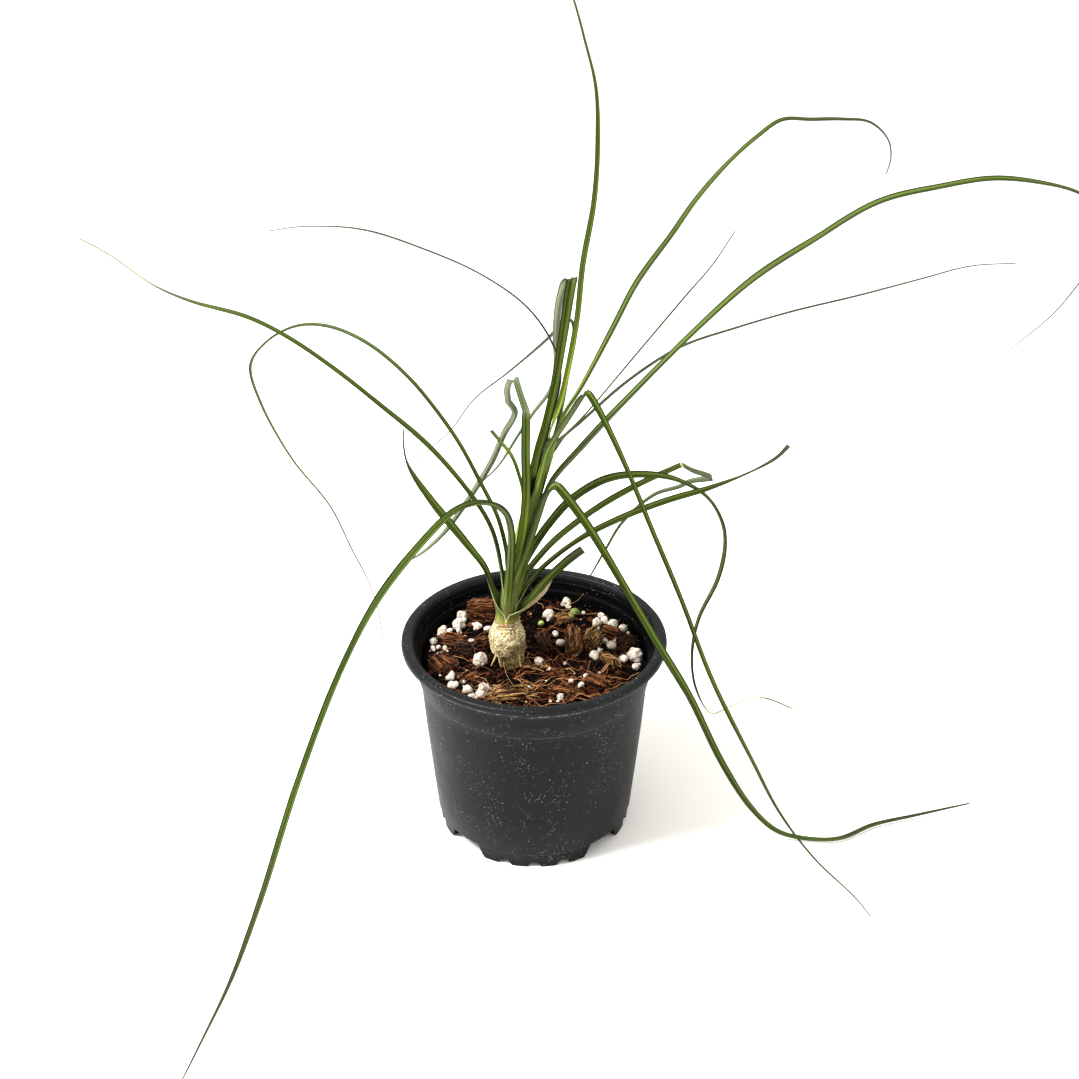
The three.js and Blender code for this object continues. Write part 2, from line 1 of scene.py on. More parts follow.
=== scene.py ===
# %% [markdown]
# # A young ponytail palm in its nursery pot
#
# The pot, the soil, the trunk, the shoot and every leaf already exist as plain solids, each in its place.
# This lesson loads them and gives each one the surface of the real thing. Where a plain solid is too
# simple to look at, a finer piece of the same form takes its place.

# %% Load the plain solids
import math

import bpy
import numpy as np
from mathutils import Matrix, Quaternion, Vector, noise


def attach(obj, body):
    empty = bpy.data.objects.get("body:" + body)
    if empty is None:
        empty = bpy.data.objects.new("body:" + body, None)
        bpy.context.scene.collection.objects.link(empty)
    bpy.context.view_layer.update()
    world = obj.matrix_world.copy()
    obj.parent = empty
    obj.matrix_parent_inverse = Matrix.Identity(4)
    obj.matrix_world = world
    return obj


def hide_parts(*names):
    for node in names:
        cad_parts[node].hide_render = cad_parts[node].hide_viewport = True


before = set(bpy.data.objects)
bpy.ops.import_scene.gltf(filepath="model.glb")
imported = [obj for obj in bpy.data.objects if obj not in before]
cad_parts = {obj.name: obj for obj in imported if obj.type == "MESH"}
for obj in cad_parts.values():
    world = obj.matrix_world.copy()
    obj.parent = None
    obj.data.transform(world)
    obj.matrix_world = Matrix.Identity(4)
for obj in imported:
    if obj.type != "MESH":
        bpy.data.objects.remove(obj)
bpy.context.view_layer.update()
MM = 0.001

# %% [markdown]
# ## The camera
#
# The photograph looks down on the plant by about 29 degrees, from about 64 cm away. A camera's rotation of
# zero looks straight down, so looking down by 29 degrees is a turn of 61 degrees about X.

# %% Place the camera
LOOKING_DOWN = 29.05
FOCAL_LENGTH, SENSOR_WIDTH = 48.38, 36
CAMERA_PLACE = (0.0022, -0.497, 0.408)
camera_data = bpy.data.cameras.new("camera")
camera_data.sensor_width = SENSOR_WIDTH
camera_data.lens = FOCAL_LENGTH
camera = bpy.data.objects.new("camera", camera_data)
camera.location = CAMERA_PLACE
camera.rotation_euler = (math.radians(90 - LOOKING_DOWN), 0, 0)
bpy.context.scene.collection.objects.link(camera)
bpy.context.scene.camera = camera
print("camera", round(math.degrees(camera_data.angle), 1), "degrees wide")

# %% [markdown]
# ## Writing node trees as sums
#
# Shader patterns are arithmetic: a mask times a colour, a noise plus a noise. Clicking that together from
# Math nodes hides the sum, so a small class wraps a socket and lets Python's own operators add the nodes.
# Every other kind of node comes from the one method `node`, and the same two classes also write the
# geometry trees further down. A colour is written as its usual code, such as "#253208".

# %% A socket that can be used in sums
def tint(code):
    """A colour from its usual hexadecimal code, in the linear values that shaders use."""
    values = [int(code[i:i + 2], 16) / 255 for i in (1, 3, 5)]
    return (*[v / 12.92 if v <= 0.04045 else ((v + 0.055) / 1.055) ** 2.4 for v in values], 1)


class Wire:
    """An output socket. Sums and products of wires add Math nodes."""

    def __init__(self, graph, socket):
        self.graph = graph
        self.socket = socket

    def also(self, name):
        """Another output of the same node."""
        return Wire(self.graph, self.socket.node.outputs[name])

    def __add__(self, other):
        return self.graph.math("ADD", self, other)

    def __mul__(self, other):
        return self.graph.math("MULTIPLY", self, other)

    def __sub__(self, other):
        return self.graph.math("SUBTRACT", self, other)

    def __rsub__(self, other):
        return self.graph.math("SUBTRACT", other, self)

    def __gt__(self, other):
        return self.graph.math("GREATER_THAN", self, other)

    __radd__ = __add__
    __rmul__ = __mul__


class Graph:
    """A node tree that is being written."""

    def __init__(self, tree):
        self.tree = tree

    def node(self, kind, settings=None, inputs=(), output=0):
        """Adds a node: its settings first, then the values or wires of its inputs. Gives one output."""
        made = self.tree.nodes.new(kind)
        settings = dict(settings or {})
        stops = settings.pop("stops", [])
        for key, value in settings.items():
            setattr(made, key, value)
        for number, (position, colour) in enumerate(stops):
            elements = made.color_ramp.elements
            ends = {0: elements[0], len(stops) - 1: elements[-1]}
            element = ends[number] if number in ends else elements.new(position)
            element.position = position
            element.color = tint(colour)
        for key, value in inputs.items() if isinstance(inputs, dict) else enumerate(inputs):
            if isinstance(value, Wire):
                self.tree.links.new(value.socket, made.inputs[key])
            else:
                is_colour = isinstance(value, str) and value.startswith("#")
                made.inputs[key].default_value = tint(value) if is_colour else value
        return Wire(self, made.outputs[output])

    def math(self, operation, *values):
        return self.node("ShaderNodeMath", {"operation": operation}, values)

    def step(self, value, low, high):
        """0 below low, 1 above high, and smooth between them."""
        settings = {"interpolation_type": "SMOOTHSTEP"}
        return self.node("ShaderNodeMapRange", settings, {"Value": value, "From Min": low, "From Max": high})

    def band(self, value, centre, half):
        """1 where value is at centre, falling to 0 at half away."""
        return 1 - self.step(self.math("ABSOLUTE", value - centre), half * 0.3, half)

    def vector(self, x, y, z):
        """Three numbers or wires as one vector."""
        return self.node("ShaderNodeCombineXYZ", {}, [x, y, z])

    def plus(self, first, second):
        """The sum of two vectors."""
        return self.node("ShaderNodeVectorMath", {"operation": "ADD"}, [first, second])

    def times(self, vector, factor):
        """A vector times a number."""
        return self.node("ShaderNodeVectorMath", {"operation": "SCALE"}, {0: vector, "Scale": factor})


print("node kinds are added by Graph.node, and sums by", Wire.__name__)

# %% [markdown]
# ## Finishes
#
# A finish is one material. Its patterns are read in millimetres from the object's own coordinates, so a
# speck of dust has the same size on every piece, or from attributes that a piece carries, such as how far
# along a leaf a point lies. Only what changes over the surface is wired; what is the same all over is set
# on the shader itself.

# %% The class of all finishes
class Finish(Graph):
    """A material written as sums of patterns."""

    def __init__(self, name, **fixed):
        self.material = bpy.data.materials.new(name)
        self.material.use_nodes = True
        super().__init__(self.material.node_tree)
        self.shader = self.tree.nodes["Principled BSDF"]
        for socket, value in fixed.items():
            self.shader.inputs[socket.replace("_", " ")].default_value = value
        self.place = self.times(self.node("ShaderNodeTexCoord", output="Object"), 1 / MM)
        self.x = self.node("ShaderNodeSeparateXYZ", {}, [self.place])
        self.y = self.x.also("Y")
        self.z = self.x.also("Z")

    def stretched(self, x, y, z, place=None):
        """The place with each axis scaled, for streaks."""
        settings = {"operation": "MULTIPLY"}
        return self.node("ShaderNodeVectorMath", settings, [place or self.place, (x, y, z)])

    def cloud(self, size, detail=3.0, place=None, rough=0.55):
        """Soft noise with lumps of the given size in mm."""
        inputs = {"Vector": place or self.place, "Scale": 1 / size, "Detail": detail, "Roughness": rough}
        return self.node("ShaderNodeTexNoise", {}, inputs)

    def cells(self, size, feature="F1", place=None):
        """Distance to the nearest of scattered points that lie about the given size apart."""
        inputs = {"Vector": place or self.place, "Scale": 1 / size}
        return self.node("ShaderNodeTexVoronoi", {"feature": feature}, inputs, "Distance")

    def carried(self, name):
        """An attribute that the piece carries."""
        return self.node("ShaderNodeAttribute", {"attribute_name": name}, output="Fac")

    def mix(self, share, first, second):
        """Goes from the first colour to the second."""
        return self.node("ShaderNodeMix", {"data_type": "RGBA"}, {0: share, 6: first, 7: second}, 2)

    def painted(self, base, *coats):
        """A base colour under coats of (share, colour), the last one on top."""
        for share, colour in coats:
            base = self.mix(share, base, colour)
        return base

    def ramp(self, value, *stops):
        """A colour for a value, by stops of (value, colour)."""
        return self.node("ShaderNodeValToRGB", {"stops": stops}, [value])

    def feed(self, socket, wire):
        self.tree.links.new(wire.socket, self.shader.inputs[socket])

    def relief(self, height, depth):
        """Bump of a height pattern whose full swing is depth mm."""
        bump = self.node("ShaderNodeBump", {}, {"Height": height, "Distance": depth * MM, "Strength": 1.0})
        self.feed("Normal", bump)


print("finishes read places in mm:", Finish.__doc__)

# %% [markdown]
# ## Light and floor
#
# The plant stands on a white sweep in bright, soft light. Most of it comes from all sides, so the sky is
# white. A large lamp high on the left gives the pale left side of the pot and the soft, warm shadow at its
# right foot.

# %% White floor, white sky, one soft key light
scene = bpy.context.scene
scene.view_settings.view_transform = "Standard"
scene.view_settings.gamma = 0.85

sky = bpy.data.worlds.new("white_room")
sky.use_nodes = True
sky.node_tree.nodes["Background"].inputs["Color"].default_value = (1, 0.99, 0.97, 1)
sky.node_tree.nodes["Background"].inputs["Strength"].default_value = 1.2
scene.world = sky


AIM = Vector((0, 0, 0.1))


def soft_lamp(name, place, size, power, colour):
    """A square area lamp that faces the plant."""
    data = bpy.data.lights.new(name, "AREA")
    data.size = size
    data.energy = power
    data.color = colour
    lamp = bpy.data.objects.new(name, data)
    lamp.location = place
    lamp.rotation_mode = "QUATERNION"
    lamp.rotation_quaternion = (AIM - Vector(place)).to_track_quat("-Z", "Y")
    scene.collection.objects.link(lamp)


soft_lamp("key", place=(-0.75, -0.28, 1.15), size=0.45, power=32, colour=(0.97, 0.985, 1))
soft_lamp("right_fill", place=(1.1, -0.3, 0.6), size=0.8, power=2, colour=(1, 1, 1))

floor_finish = Finish("white_sweep", Roughness=0.7)
floor_finish.feed("Base Color", floor_finish.mix(floor_finish.cloud(400), "#fdfbf5", "#fefdfa"))
FLOOR_HALF = 4
floor_mesh = bpy.data.meshes.new("floor")
floor_corners = [(x * FLOOR_HALF, y * FLOOR_HALF, 0) for x, y in ((-1, -1), (1, -1), (1, 1), (-1, 1))]
floor_mesh.from_pydata(floor_corners, [], [(0, 1, 2, 3)])
floor_mesh.materials.append(floor_finish.material)
floor = bpy.data.objects.new("floor", floor_mesh)
scene.collection.objects.link(floor)

# %% [markdown]
# ## From rings of points to a closed skin
#
# The pot, the trunk, the shoot and the leaves are all made the same way: a row of rings, each with the same
# number of points, joined by quads and closed at both ends. Only the rule for the points differs. A ring
# mesh is quick to write and has even faces, which a smooth surface with fine relief needs.

# %% Build and keep a piece
def new_object(name, mesh, replaced=()):
    """Puts a finished mesh in the scene as a piece that stays with the CAD frame."""
    mesh.name = name
    piece = bpy.data.objects.new(name, mesh)
    scene.collection.objects.link(piece)
    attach(piece, "root")
    if replaced:
        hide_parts(*replaced)
    return piece


def set_values(mesh, name, values):
    """Stores one number for each point of a mesh."""
    attribute = mesh.attributes.new(name, "FLOAT", "POINT")
    attribute.data.foreach_set("value", np.array(values, np.float32))


def ring_faces(levels, around, first=0):
    """Quads that join each ring of points to the next."""
    faces = []
    for start in range(first, first + (levels - 1) * around, around):
        for k in range(around):
            a, b = start + k, start + (k + 1) % around
            faces.append((a, b, b + around, a + around))
    return faces


def ring_mesh(name, rings, material, sharp=180, pointed=(False, False), carried=None):
    """A closed mesh through rings of points in mm. Its first ring is seen anticlockwise from behind.
    A pointed end closes on the middle of its last ring, and any other with a flat face."""
    rings = np.asarray(rings, float)
    levels, around = rings.shape[:2]
    points = list(rings.reshape(-1, 3) * MM)
    faces = ring_faces(levels, around)
    first, last = list(range(around)), [(levels - 1) * around + k for k in range(around)]
    for ends, point, ring in ((pointed[0], rings[0], first[::-1]), (pointed[1], rings[-1], last)):
        if ends:
            points.append(point.mean(axis=0) * MM)
            faces += [(ring[k], ring[(k + 1) % around], len(points) - 1) for k in range(around)]
        else:
            faces.append(tuple(ring))
    mesh = bpy.data.meshes.new(name)
    mesh.from_pydata(points, [], faces)
    mesh.shade_smooth()
    if sharp < 180:
        mesh.set_sharp_from_angle(angle=math.radians(sharp))
    for label, values in (carried or {}).items():
        middles = np.zeros(len(points) - levels * around)
        set_values(mesh, label, np.append(np.ravel(values), middles))
    mesh.materials.append(material)
    return mesh


def turned(profile, angles):
    """Rings about +Z: one for each profile point, which is (radius, height) or a rule of the angle."""
    rings = []
    for rule in profile:
        reach = [rule(a) if callable(rule) else rule for a in angles]
        rings.append([(r * math.cos(a), r * math.sin(a), z) for a, (r, z) in zip(angles, reach)])
    return rings


def ease(x, low, high):
    """The same smooth step that the shaders use, for numbers."""
    t = min(max((x - low) / (high - low), 0), 1)
    return t * t * (3 - 2 * t)


print("pieces are built from rings, in mm, and kept in metres")

# %% [markdown]
# ## The pot
#
# A nursery pot is a thin black cup, injection moulded in one shot: a flat lip, a collar band with a fine
# step below it, a tapered body, and a foot ring that is cut away so that water can leave. Turning one
# profile gives all of it but the foot. There the lowest point of each column of faces is lifted by a
# formula: four arches, and between them small notches, so no cutting is needed.

# %% The pot's sizes
RIM_R, POT_H, LIP_W, LIP_DEPTH = 54, 88, 4.4, 3
BODY_TOP, BODY_BOTTOM, COLLAR_Z = 46.7, 41.4, 70.2
BODY_BULGE = [(43.1, 25), (44.9, 46), (46.4, 66)]
UPPER_LEDGE, LOWER_LEDGE = 84.4, 80.95
FOOT_R, FOOT_W, FOOT_H = 40.4, 4, 6.3
DISC_R, DISC_Z, FLOOR_Z, WALL = 26, 2.5, 7.4, 1.3
ARCH_H, ARCH_TOP, ARCH_BOTTOM = 5.7, 6.2, 10.3
NOTCH_H, NOTCH_HALF, NOTCH_SLANT, NOTCH_ANGLES = 2.4, 2.9, 1.4, (-17.5, 0, 17.5)


def foot_edge(angle):
    """Height of the foot ring's lower edge above the table at an angle."""
    from_arch = math.radians((math.degrees(angle) % 90) - 45)
    aside = abs(FOOT_R * math.sin(from_arch))
    arch = ARCH_H * (1 - ease(aside, ARCH_TOP, ARCH_BOTTOM))
    from_lobe = ((math.degrees(angle) + 45) % 90) - 45
    off = min(abs(FOOT_R * math.radians(from_lobe - at)) for at in NOTCH_ANGLES)
    return max(arch, NOTCH_H * min(max((NOTCH_HALF - off) / NOTCH_SLANT, 0), 1))


print("lowest and highest foot edge, mm:", foot_edge(0.15), foot_edge(math.pi / 4))

# %% The pot's profile, turned
INNER_LIP = RIM_R - LIP_W
LIP_UNDER = POT_H - LIP_DEPTH
FOOT_INNER = FOOT_R - FOOT_W
pot_profile = [
    (0.5, DISC_Z), (DISC_R - 0.4, DISC_Z), (DISC_R + 0.3, DISC_Z + 0.3), (DISC_R + 3.2, FOOT_H - 0.6),
    (DISC_R + 4, FOOT_H - 0.3), (FOOT_INNER - 0.3, FOOT_H - 0.3),
    lambda a: (FOOT_INNER, min(FOOT_H - 0.4, foot_edge(a) + 0.3)),
    lambda a: (FOOT_INNER + 0.3, foot_edge(a)), lambda a: (FOOT_R - 0.35, foot_edge(a)),
    lambda a: (FOOT_R, min(FOOT_H - 0.4, foot_edge(a) + 0.35)),
    (FOOT_R + 0.2, FOOT_H - 0.2), (FOOT_R + 0.6, FOOT_H + 0.25), (BODY_BOTTOM - 0.15, FOOT_H + 0.45),
    (BODY_BOTTOM + 0.05, FOOT_H + 0.9), *BODY_BULGE, (BODY_TOP, COLLAR_Z - 0.3),
    (BODY_TOP + 0.12, COLLAR_Z), (BODY_TOP + 0.55, COLLAR_Z + 0.3), (BODY_TOP + 0.72, COLLAR_Z + 0.7),
    (48.1, 77.5), (48.75, LIP_UNDER - 0.9), (49.1, LIP_UNDER - 0.3), (49.8, LIP_UNDER),
    (RIM_R - 1.1, LIP_UNDER), (RIM_R - 0.45, LIP_UNDER + 0.2), (RIM_R - 0.1, LIP_UNDER + 0.65),
    (RIM_R, POT_H - 1.6), (RIM_R - 0.15, POT_H - 0.8), (RIM_R - 0.6, POT_H - 0.2), (RIM_R - 1.3, POT_H),
    (INNER_LIP + 1.6, POT_H - 0.12), (INNER_LIP + 0.6, POT_H - 0.1), (INNER_LIP + 0.15, POT_H - 0.35),
    (INNER_LIP - 0.1, POT_H - 0.9), (48.5, UPPER_LEDGE + 0.5), (48.2, UPPER_LEDGE + 0.1),
    (47.9, UPPER_LEDGE - 0.05), (47.5, LOWER_LEDGE + 0.45), (47.2, LOWER_LEDGE + 0.05),
    (46.75, LOWER_LEDGE - 0.1), (46.4, LOWER_LEDGE - 0.65), (46.1, 76),
    (BODY_BOTTOM - WALL + 0.4, FLOOR_Z + 0.6), (BODY_BOTTOM - WALL, FLOOR_Z), (DISC_R + 3.8, FLOOR_Z),
    (DISC_R + 0.6, DISC_Z + 1.4), (0.5, DISC_Z + 1.4),
]
FULL_TURN = 2 * math.pi
POT_COLUMNS = 480
pot_angles = [FULL_TURN * k / POT_COLUMNS for k in range(POT_COLUMNS)]
print(len(pot_profile), "profile points by", POT_COLUMNS, "columns")

# %% [markdown]
# ### The pot's finish
#
# Black plastic is never plain black in a photograph. It has a fine moulded grain, a thin film of dust with
# wiped patches and many tiny white specks of perlite and lime. Pale, broken lines run along the lip's lower
# edge, the step of the collar, the foot and the inner ledges: part wear where they rub on other pots in a
# stack, part painted highlight for the light that these edges catch. The lip is lightened all round, a
# painted highlight too. Each of these is one mask in the sum. The inner wall lies in shade and hardly
# shines, so a second, darker shader takes over there. What tells the two walls apart is the middle of the
# wall, whose radius grows with the height by one line for the body and by a steeper one for the lip.

# %% Black moulded plastic with dust
BODY_MIDDLE, BODY_SLOPE = 40, 0.0885
LIP_MIDDLE, LIP_SLOPE = 27.6, 0.25
plastic = Finish("black_moulded_plastic", Specular_IOR_Level=0.21)
radius = plastic.math("SQRT", plastic.x * plastic.x + plastic.y * plastic.y)
mid_body = BODY_MIDDLE + plastic.z * BODY_SLOPE
mid_lip = LIP_MIDDLE + plastic.z * LIP_SLOPE
outside = plastic.step(radius - plastic.math("MAXIMUM", mid_body, mid_lip), -0.25, 0.15)
film = plastic.cloud(22, 4) * 0.6 + plastic.cloud(5, 5, plastic.stretched(1, 1, 0.35)) * 0.5
film = plastic.step(film, 0.42, 0.85)


def speck_layer(spacing, share, small, large):
    """Round specks on scattered points, of which the given share is drawn, with radii in cell sizes."""
    cells = plastic.cells(spacing)
    draw = plastic.node("ShaderNodeSeparateColor", {}, [cells.also("Color")])
    size = small + draw * (large - small)
    return plastic.step(size - cells, 0, 0.05) * (draw.also("Green") > 1 - share)


def edge_line(height, half):
    """A pale line round the pot: part wear, part painted highlight on an edge."""
    return plastic.band(plastic.z, height, half)


clusters = plastic.step(plastic.cloud(14, 3), 0.42, 0.62)
specks = (speck_layer(1.1, 0.34, 0.09, 0.18) * (0.4 + clusters) + speck_layer(2.1, 0.3, 0.06, 0.12)
          + speck_layer(0.7, 0.3, 0.14, 0.28) * clusters * 0.8)
powder = plastic.step(plastic.cloud(0.5, 5), 0.62, 0.72) * clusters * plastic.step(film, 0.3, 0.9) * 0.3
broken = plastic.step(plastic.cloud(1.1, 3), 0.5, 0.6)
fading = plastic.step(plastic.cloud(6, 3), 0.3, 0.6)
# Pale lines round the lip's lower edge, the collar step, the foot and the inner ledges: part wear, part
# painted highlight on those edges. They go into the dust mask with the specks.
lip_wear_and_highlight = edge_line(LIP_UNDER + 0.3, 0.42) * plastic.step(radius, RIM_R - 2.5, RIM_R - 1.5) * broken
collar_wear_and_highlight = edge_line(COLLAR_Z + 0.15, 0.3) * fading * 0.5
foot_wear_and_highlight = edge_line(FOOT_H + 0.45, 0.35) * fading * broken * 0.6
ledge_wear_and_highlight = edge_line(UPPER_LEDGE, 0.25) + edge_line(LOWER_LEDGE, 0.25)
ledge_wear_and_highlight = ledge_wear_and_highlight * (1 - plastic.step(radius, 48.4, 48.6)) * fading * 0.12
dust_wear_and_highlight = specks * 0.9 + powder + lip_wear_and_highlight * 0.75 + collar_wear_and_highlight + foot_wear_and_highlight + ledge_wear_and_highlight
dust_wear_and_highlight = plastic.node("ShaderNodeClamp", {}, [dust_wear_and_highlight])
skin = plastic.mix(film * 0.4, "#040508", "#14181e")
# The lip is lightened all round: a painted highlight of the light that falls on it.
lip_painted_highlight = plastic.step(plastic.z, LIP_UNDER - 0.4, LIP_UNDER + 0.4)
plastic.feed("Base Color", plastic.painted(skin, (lip_painted_highlight * 0.35, "#2c2e2d"), (dust_wear_and_highlight, "#b4b6b4")))
plastic.feed("Roughness", 0.43 + film * 0.12 + dust_wear_and_highlight * 0.1)
plastic.relief(plastic.cloud(0.35, 2) * 0.6 + plastic.cloud(4, 3) * 0.8 + dust_wear_and_highlight * 0.5, 0.06)
in_shade = plastic.node("ShaderNodeBsdfPrincipled", {}, {
    "Base Color": "#020202", "Roughness": 0.7, "Specular IOR Level": 0.08})
lit_share = plastic.math("MAXIMUM", outside, dust_wear_and_highlight * 0.8)
in_light = Wire(plastic, plastic.shader.outputs[0])
both = plastic.node("ShaderNodeMixShader", {}, [lit_share, in_shade, in_light])
plastic.tree.links.new(both.socket, plastic.tree.nodes["Material Output"].inputs["Surface"])
print("plastic film, specks and scuffs in one finish")

# %% [markdown]
# ### Drain holes by a geometry tree
#
# Eight round holes sit on one circle in the floor of the pot. A geometry tree is the natural way to repeat
# a cut: it puts a cylinder on every point of a circle and takes them all away in one Boolean. The number,
# the circle and the hole are inputs of the tree, so a pot with other holes needs no new code.

# %% A class for geometry trees
class Rule(Graph):
    """A geometry tree with named inputs, ended by Realize Instances and Set Material."""

    def __init__(self, name, material, **sizes):
        tree = bpy.data.node_groups.new(name, "GeometryNodeTree")
        super().__init__(tree)
        self.material = material
        self.keys = {}
        tree.interface.new_socket("Geometry", in_out="INPUT", socket_type="NodeSocketGeometry")
        tree.interface.new_socket("Geometry", in_out="OUTPUT", socket_type="NodeSocketGeometry")
        for label, value in sizes.items():
            kind = "NodeSocketInt" if isinstance(value, int) else "NodeSocketFloat"
            socket = tree.interface.new_socket(label, in_out="INPUT", socket_type=kind)
            socket.default_value = value
            self.keys[label] = socket.identifier
        self.start = tree.nodes.new("NodeGroupInput")

    def given(self, label="Geometry"):
        return Wire(self, self.start.outputs[label])

    def attribute(self, name, kind="FLOAT"):
        """What the points carry under a name."""
        return self.node("GeometryNodeInputNamedAttribute", {"data_type": kind}, {"Name": name})

    def random(self, low, high, salt):
        """A random number for each point. Draws with different salts differ."""
        inputs = {2: low, 3: high, "Seed": self.given("Seed") + salt}
        return self.node("FunctionNodeRandomValue", {"data_type": "FLOAT"}, inputs, 1)

    def random_vector(self, low, high, salt):
        """A random vector for each point, from the corners of a box."""
        inputs = {0: low, 1: high, "Seed": self.given("Seed") + salt}
        return self.node("FunctionNodeRandomValue", {"data_type": "FLOAT_VECTOR"}, inputs)

    def scattered(self, density):
        """Points strewn over the given mesh."""
        inputs = {"Mesh": self.given(), "Density": density, "Seed": self.given("Seed")}
        return self.node("GeometryNodeDistributePointsOnFaces", {}, inputs, "Points")

    def put_on(self, points, instance, rotation, scale):
        """An instance on every point."""
        inputs = {"Points": points, "Instance": instance, "Rotation": rotation, "Scale": scale}
        return self.node("GeometryNodeInstanceOnPoints", {}, inputs)

    def marked(self, instances, name, value):
        """Gives each instance a value to carry."""
        inputs = {"Geometry": instances, "Name": name, "Value": value}
        return self.node("GeometryNodeStoreNamedAttribute", {"domain": "INSTANCE"}, inputs)

    def real(self, instances):
        return self.node("GeometryNodeRealizeInstances", {}, [instances])

    def bent_line(self, points, middle):
        """A curve 1 long about the origin, bent through a middle handle."""
        inputs = {"Resolution": points, "Start": (-0.5, 0, 0), "Middle": middle, "End": (0.5, 0, 0)}
        return self.node("GeometryNodeCurveQuadraticBezier", {}, inputs)

    def swept(self, curve, sides):
        """A closed tube round a curve, with the tree's Thickness as its radius."""
        ring = self.node("GeometryNodeCurvePrimitiveCircle", {}, {
            "Resolution": sides, "Radius": self.given("Thickness")})
        return self.node("GeometryNodeCurveToMesh", {}, {
            "Curve": curve, "Profile Curve": ring, "Fill Caps": True})

    def displaced(self, geometry, offset):
        return self.node("GeometryNodeSetPosition", {}, {"Geometry": geometry, "Offset": offset})

    def end(self, geometry):
        """Closes the tree with what every tree ends in."""
        smooth = self.node("GeometryNodeSetShadeSmooth", {}, {"Geometry": self.real(geometry)})
        done = self.node("GeometryNodeSetMaterial", {}, {"Geometry": smooth, "Material": self.material})
        self.tree.links.new(done.socket, self.tree.nodes.new("NodeGroupOutput").inputs[0])

    def grow(self, mesh, **sizes):
        """Runs the tree on a mesh and gives the plain mesh that it makes."""
        carrier = bpy.data.objects.new("carrier", mesh)
        scene.collection.objects.link(carrier)
        modifier = carrier.modifiers.new("rule", "NODES")
        modifier.node_group = self.tree
        for label, value in sizes.items():
            modifier[self.keys[label]] = value
        bpy.context.view_layer.update()
        graph = bpy.context.evaluated_depsgraph_get()
        made = bpy.data.meshes.new_from_object(carrier.evaluated_get(graph), depsgraph=graph)
        bpy.data.objects.remove(carrier)
        return made


drain = Rule("drain_holes", plastic.material, Holes=8, Circle=0.033, Hole_radius=0.0025)
circle = drain.node("GeometryNodeMeshCircle", {}, {
    "Vertices": drain.given("Holes"), "Radius": drain.given("Circle")})
turned_circle = drain.node("GeometryNodeTransform", {}, {
    "Geometry": circle, "Translation": (0, 0, FLOOR_Z * MM), "Rotation": (0, 0, math.pi / 8)})
drill = drain.node("GeometryNodeMeshCylinder", {}, {
    "Vertices": 24, "Radius": drain.given("Hole_radius"), "Depth": 0.006})
drills = drain.node("GeometryNodeInstanceOnPoints", {}, {"Points": turned_circle, "Instance": drill})
drain.end(drain.node("GeometryNodeMeshBoolean", {"operation": "DIFFERENCE", "solver": "MANIFOLD"},
                     {"Mesh 1": drain.given(), "Mesh 2": drain.real(drills)}))
pot_mesh = drain.grow(ring_mesh("pot_cup", turned(pot_profile, pot_angles), plastic.material,
                                pointed=(True, True)))
pot_mesh.set_sharp_from_angle(angle=math.radians(42))
new_object("nursery_pot", pot_mesh, ["pot"])
print("pot:", len(pot_mesh.polygons), "faces")

# %% [markdown]
# ## The ground
#
# The mix is dark, crumbly humus with lumps and pits of a few millimetres. Its large hills are the ones of
# the plain solid, and finer noise is added to them. The same rule for the height serves everything that
# lies on the ground, so that nothing floats.

# %% Height of the ground
SOIL_Z = 76
GROUND_R = 45.6
TRUNK_X, TRUNK_Y = -10.9, -2


def hills(x, y):
    """The soil's large hills, in mm above SOIL_Z."""
    return (0.6 * math.sin(0.21 * x + 1.1) * math.cos(0.18 * y - 0.4)
            + 0.4 * math.sin(0.37 * x - 0.29 * y) + 0.02 * y)


def ground_z(x, y):
    lumps = noise.fractal(Vector((x, y, 3)) / 5, 0.7, 2.1, 5)
    crumbs = noise.fractal(Vector((x, y, 9)) / 1.3, 0.6, 2.0, 3)
    pits = ease(noise.noise(Vector((x, y, 21)) / 3.2), 0.1, 0.5)
    return SOIL_Z + hills(x, y) + 1.1 * lumps + 0.5 * crumbs - 1.6 * pits


def on_ground(r):
    """A ring of the ground's surface, as a rule of the angle."""
    return lambda a: (r, ground_z(r * math.cos(a), r * math.sin(a)))


SOIL_CLEAR = 0.4
well_z, shelf_z = DISC_Z + WALL + SOIL_CLEAR, FLOOR_Z + SOIL_CLEAR
underside = [(1, well_z), (DISC_R - 0.5, well_z), (DISC_R + 3.4, shelf_z),
             (BODY_BOTTOM - WALL - 0.5, shelf_z),
             (GROUND_R, SOIL_Z - 1.5)]
surface = [on_ground(r) for r in np.linspace(GROUND_R, 0.4, 74)]
ground_rings = turned(underside + surface, pot_angles[::2])
print(len(ground_rings), "rings of ground")

# %% Humus
humus = Finish("dark_humus", Roughness=0.95, Specular_IOR_Level=0.08)
clods = humus.cloud(2.6, 6)
red_bits = humus.step(humus.cloud(1.7, 4), 0.52, 0.62)
pale_bits = humus.step(humus.cells(0.9), 0.12, 0.05) * humus.step(humus.cloud(7, 2), 0.5, 0.62)
# Where the clods of the relief sink, the dark humus goes near black: painted shade in the hollows.
earth_with_hollow_shade = humus.mix(humus.step(clods, 0.4, 0.7), "#020101", "#0d0705")
humus.feed("Base Color", humus.painted(earth_with_hollow_shade, (red_bits * 0.3, "#34170c"), (pale_bits * 0.2, "#a08866")))
humus.relief(humus.cloud(0.7, 6) + clods, 0.9)
ground_mesh = ring_mesh("soil_ground", ground_rings, humus.material, pointed=(True, True))
new_object("soil_ground", ground_mesh, ["soil"])
print("ground:", len(ground_mesh.polygons), "faces")

